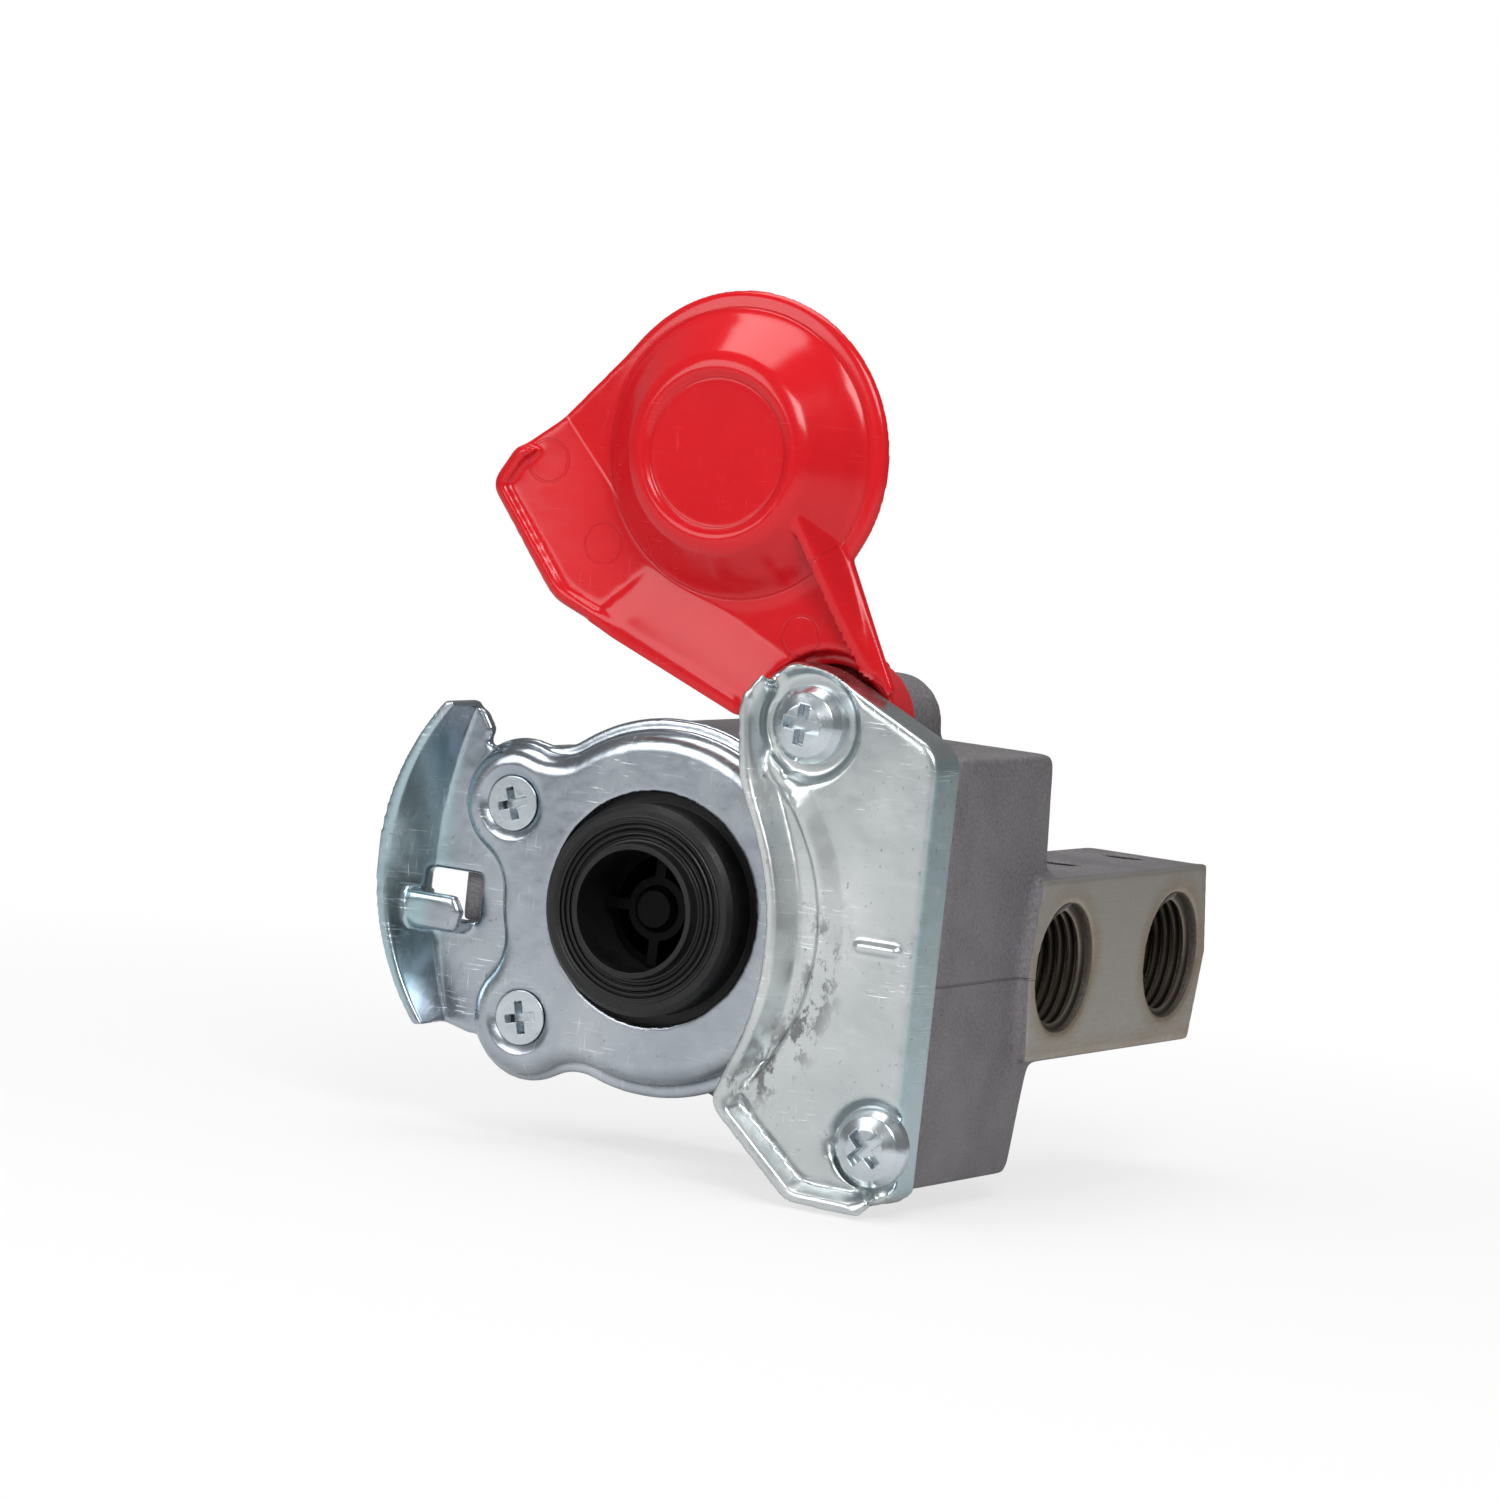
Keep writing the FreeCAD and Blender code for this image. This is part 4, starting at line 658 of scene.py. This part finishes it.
def beyond(point, crease):
    """How far a point lies beyond a crease."""
    return max(0.0, (point.x - CREASE_CORNER[0]) * crease[0] + (point.z - CREASE_CORNER[1]) * crease[1])


def bend_web(verts):
    """Lean the web's tail back and its lower band forward from their creases, behind the lip."""
    for vert in verts:
        tail = beyond(vert.co, TAIL_CREASE)
        band = beyond(vert.co, BAND_CREASE)
        share = min(1.0, max(0.0, (band - tail) / CREASE_BLEND + 0.5))
        lean = share * BAND_CREASE[2] * band + (1.0 - share) * TAIL_CREASE[2] * tail
        if COVER_BACK > vert.co.y > COVER_LIP:
            vert.co.y -= lean * min(1.0, (vert.co.y - COVER_LIP) / LIP_DEPTH)


cover = soft_copy("cover", "cover_moulding", 0.36 * MM, 9, shaped=bend_web)
paint(cover, red_plastic())
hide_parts("cover")
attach(cover, "cover")


# Floor and room: a white sweep to the camera's eye, and a dim even room to everything else.
# The floor keeps the object's soft shadow.

FLOOR_GAP = 0.5 * MM
FLOOR_HALF = 4.0
ROOM_LIGHT = 0.22


def camera_share(tree, share):
    """The share of an emitter that only the camera sees."""
    rays = tree.nodes.new("ShaderNodeLightPath")
    return times(tree, rays.outputs["Is Camera Ray"], share)


def pale_floor():
    """Pale and matt, with a share of plain white for the camera that grows away from the object."""
    material, tree, shader = new_material("pale_floor", 0.0, 0.9)
    shader.inputs["Base Color"].default_value = (0.80, 0.80, 0.80, 1.0)
    glow = tree.nodes.new("ShaderNodeEmission")
    blend = tree.nodes.new("ShaderNodeMixShader")
    x, y, z = split_point(tree)
    share = plus(tree, times(tree, climb(tree, distance(tree, x, y), 0.08, 0.32), 0.28), 0.72)
    tree.links.new(camera_share(tree, share), blend.inputs[0])
    tree.links.new(shader.outputs[0], blend.inputs[1])
    tree.links.new(glow.outputs[0], blend.inputs[2])
    tree.links.new(blend.outputs[0], tree.nodes["Material Output"].inputs["Surface"])
    return material


work = bmesh.new()
bmesh.ops.create_grid(work, x_segments=1, y_segments=1, size=FLOOR_HALF)
bmesh.ops.translate(work, verts=work.verts, vec=(0.0, 0.0, cad_box[0][2] - FLOOR_GAP))
floor_mesh = bpy.data.meshes.new("floor")
work.to_mesh(floor_mesh)
work.free()
floor = bpy.data.objects.new("floor", floor_mesh)
bpy.context.scene.collection.objects.link(floor)
paint(floor, pale_floor())

world = bpy.data.worlds.new("room")
bpy.context.scene.world = world
world.use_nodes = True
room = world.node_tree
background = room.nodes["Background"]
background.inputs["Color"].default_value = (1.0, 1.0, 1.0, 1.0)
strength = plus(room, camera_share(room, 1.0 - ROOM_LIGHT), ROOM_LIGHT)
room.links.new(strength, background.inputs["Strength"])

# Lamps: broad soft boxes at the upper right and the left, and one overhead. Each has its place
# in millimetres, its width in metres and its power in watts
AIM = Vector((10.0, 20.0, 25.0)) * MM
for name, place, size, power in (
        ("key", (430.0, -520.0, 520.0), 0.34, 3.8),
        ("fill", (-290.0, -560.0, 305.0), 0.38, 1.7),
        ("top", (-60.0, 60.0, 640.0), 0.42, 2.4)):
    lamp = bpy.data.lights.new(name, "AREA")
    lamp.size = size
    lamp.energy = power
    holder = bpy.data.objects.new(name, lamp)
    holder.location = Vector(place) * MM
    holder.rotation_euler = (AIM - holder.location).to_track_quat("-Z", "Y").to_euler()
    bpy.context.scene.collection.objects.link(holder)

# Camera: a long lens, a little right of the seal's axis and slightly rolled, as in the photograph
RIGHT = Vector((0.8805, 0.4617, 0.1073))
UP = Vector((-0.1327, 0.0227, 0.9909))
BACK = Vector((0.4551, -0.8867, 0.0812))
camera_place = BACK * 1.099 + RIGHT * 16.63 * MM + UP * 26.75 * MM
camera_data = bpy.data.cameras.new("camera")
camera_data.sensor_width = 36.0
camera_data.lens = 157.46
camera = bpy.data.objects.new("camera", camera_data)
bpy.context.scene.collection.objects.link(camera)
camera.matrix_world = Matrix.Translation(camera_place) @ Matrix((RIGHT, UP, BACK)).transposed().to_4x4()
bpy.context.scene.camera = camera
bpy.context.scene.view_settings.view_transform = "Standard"
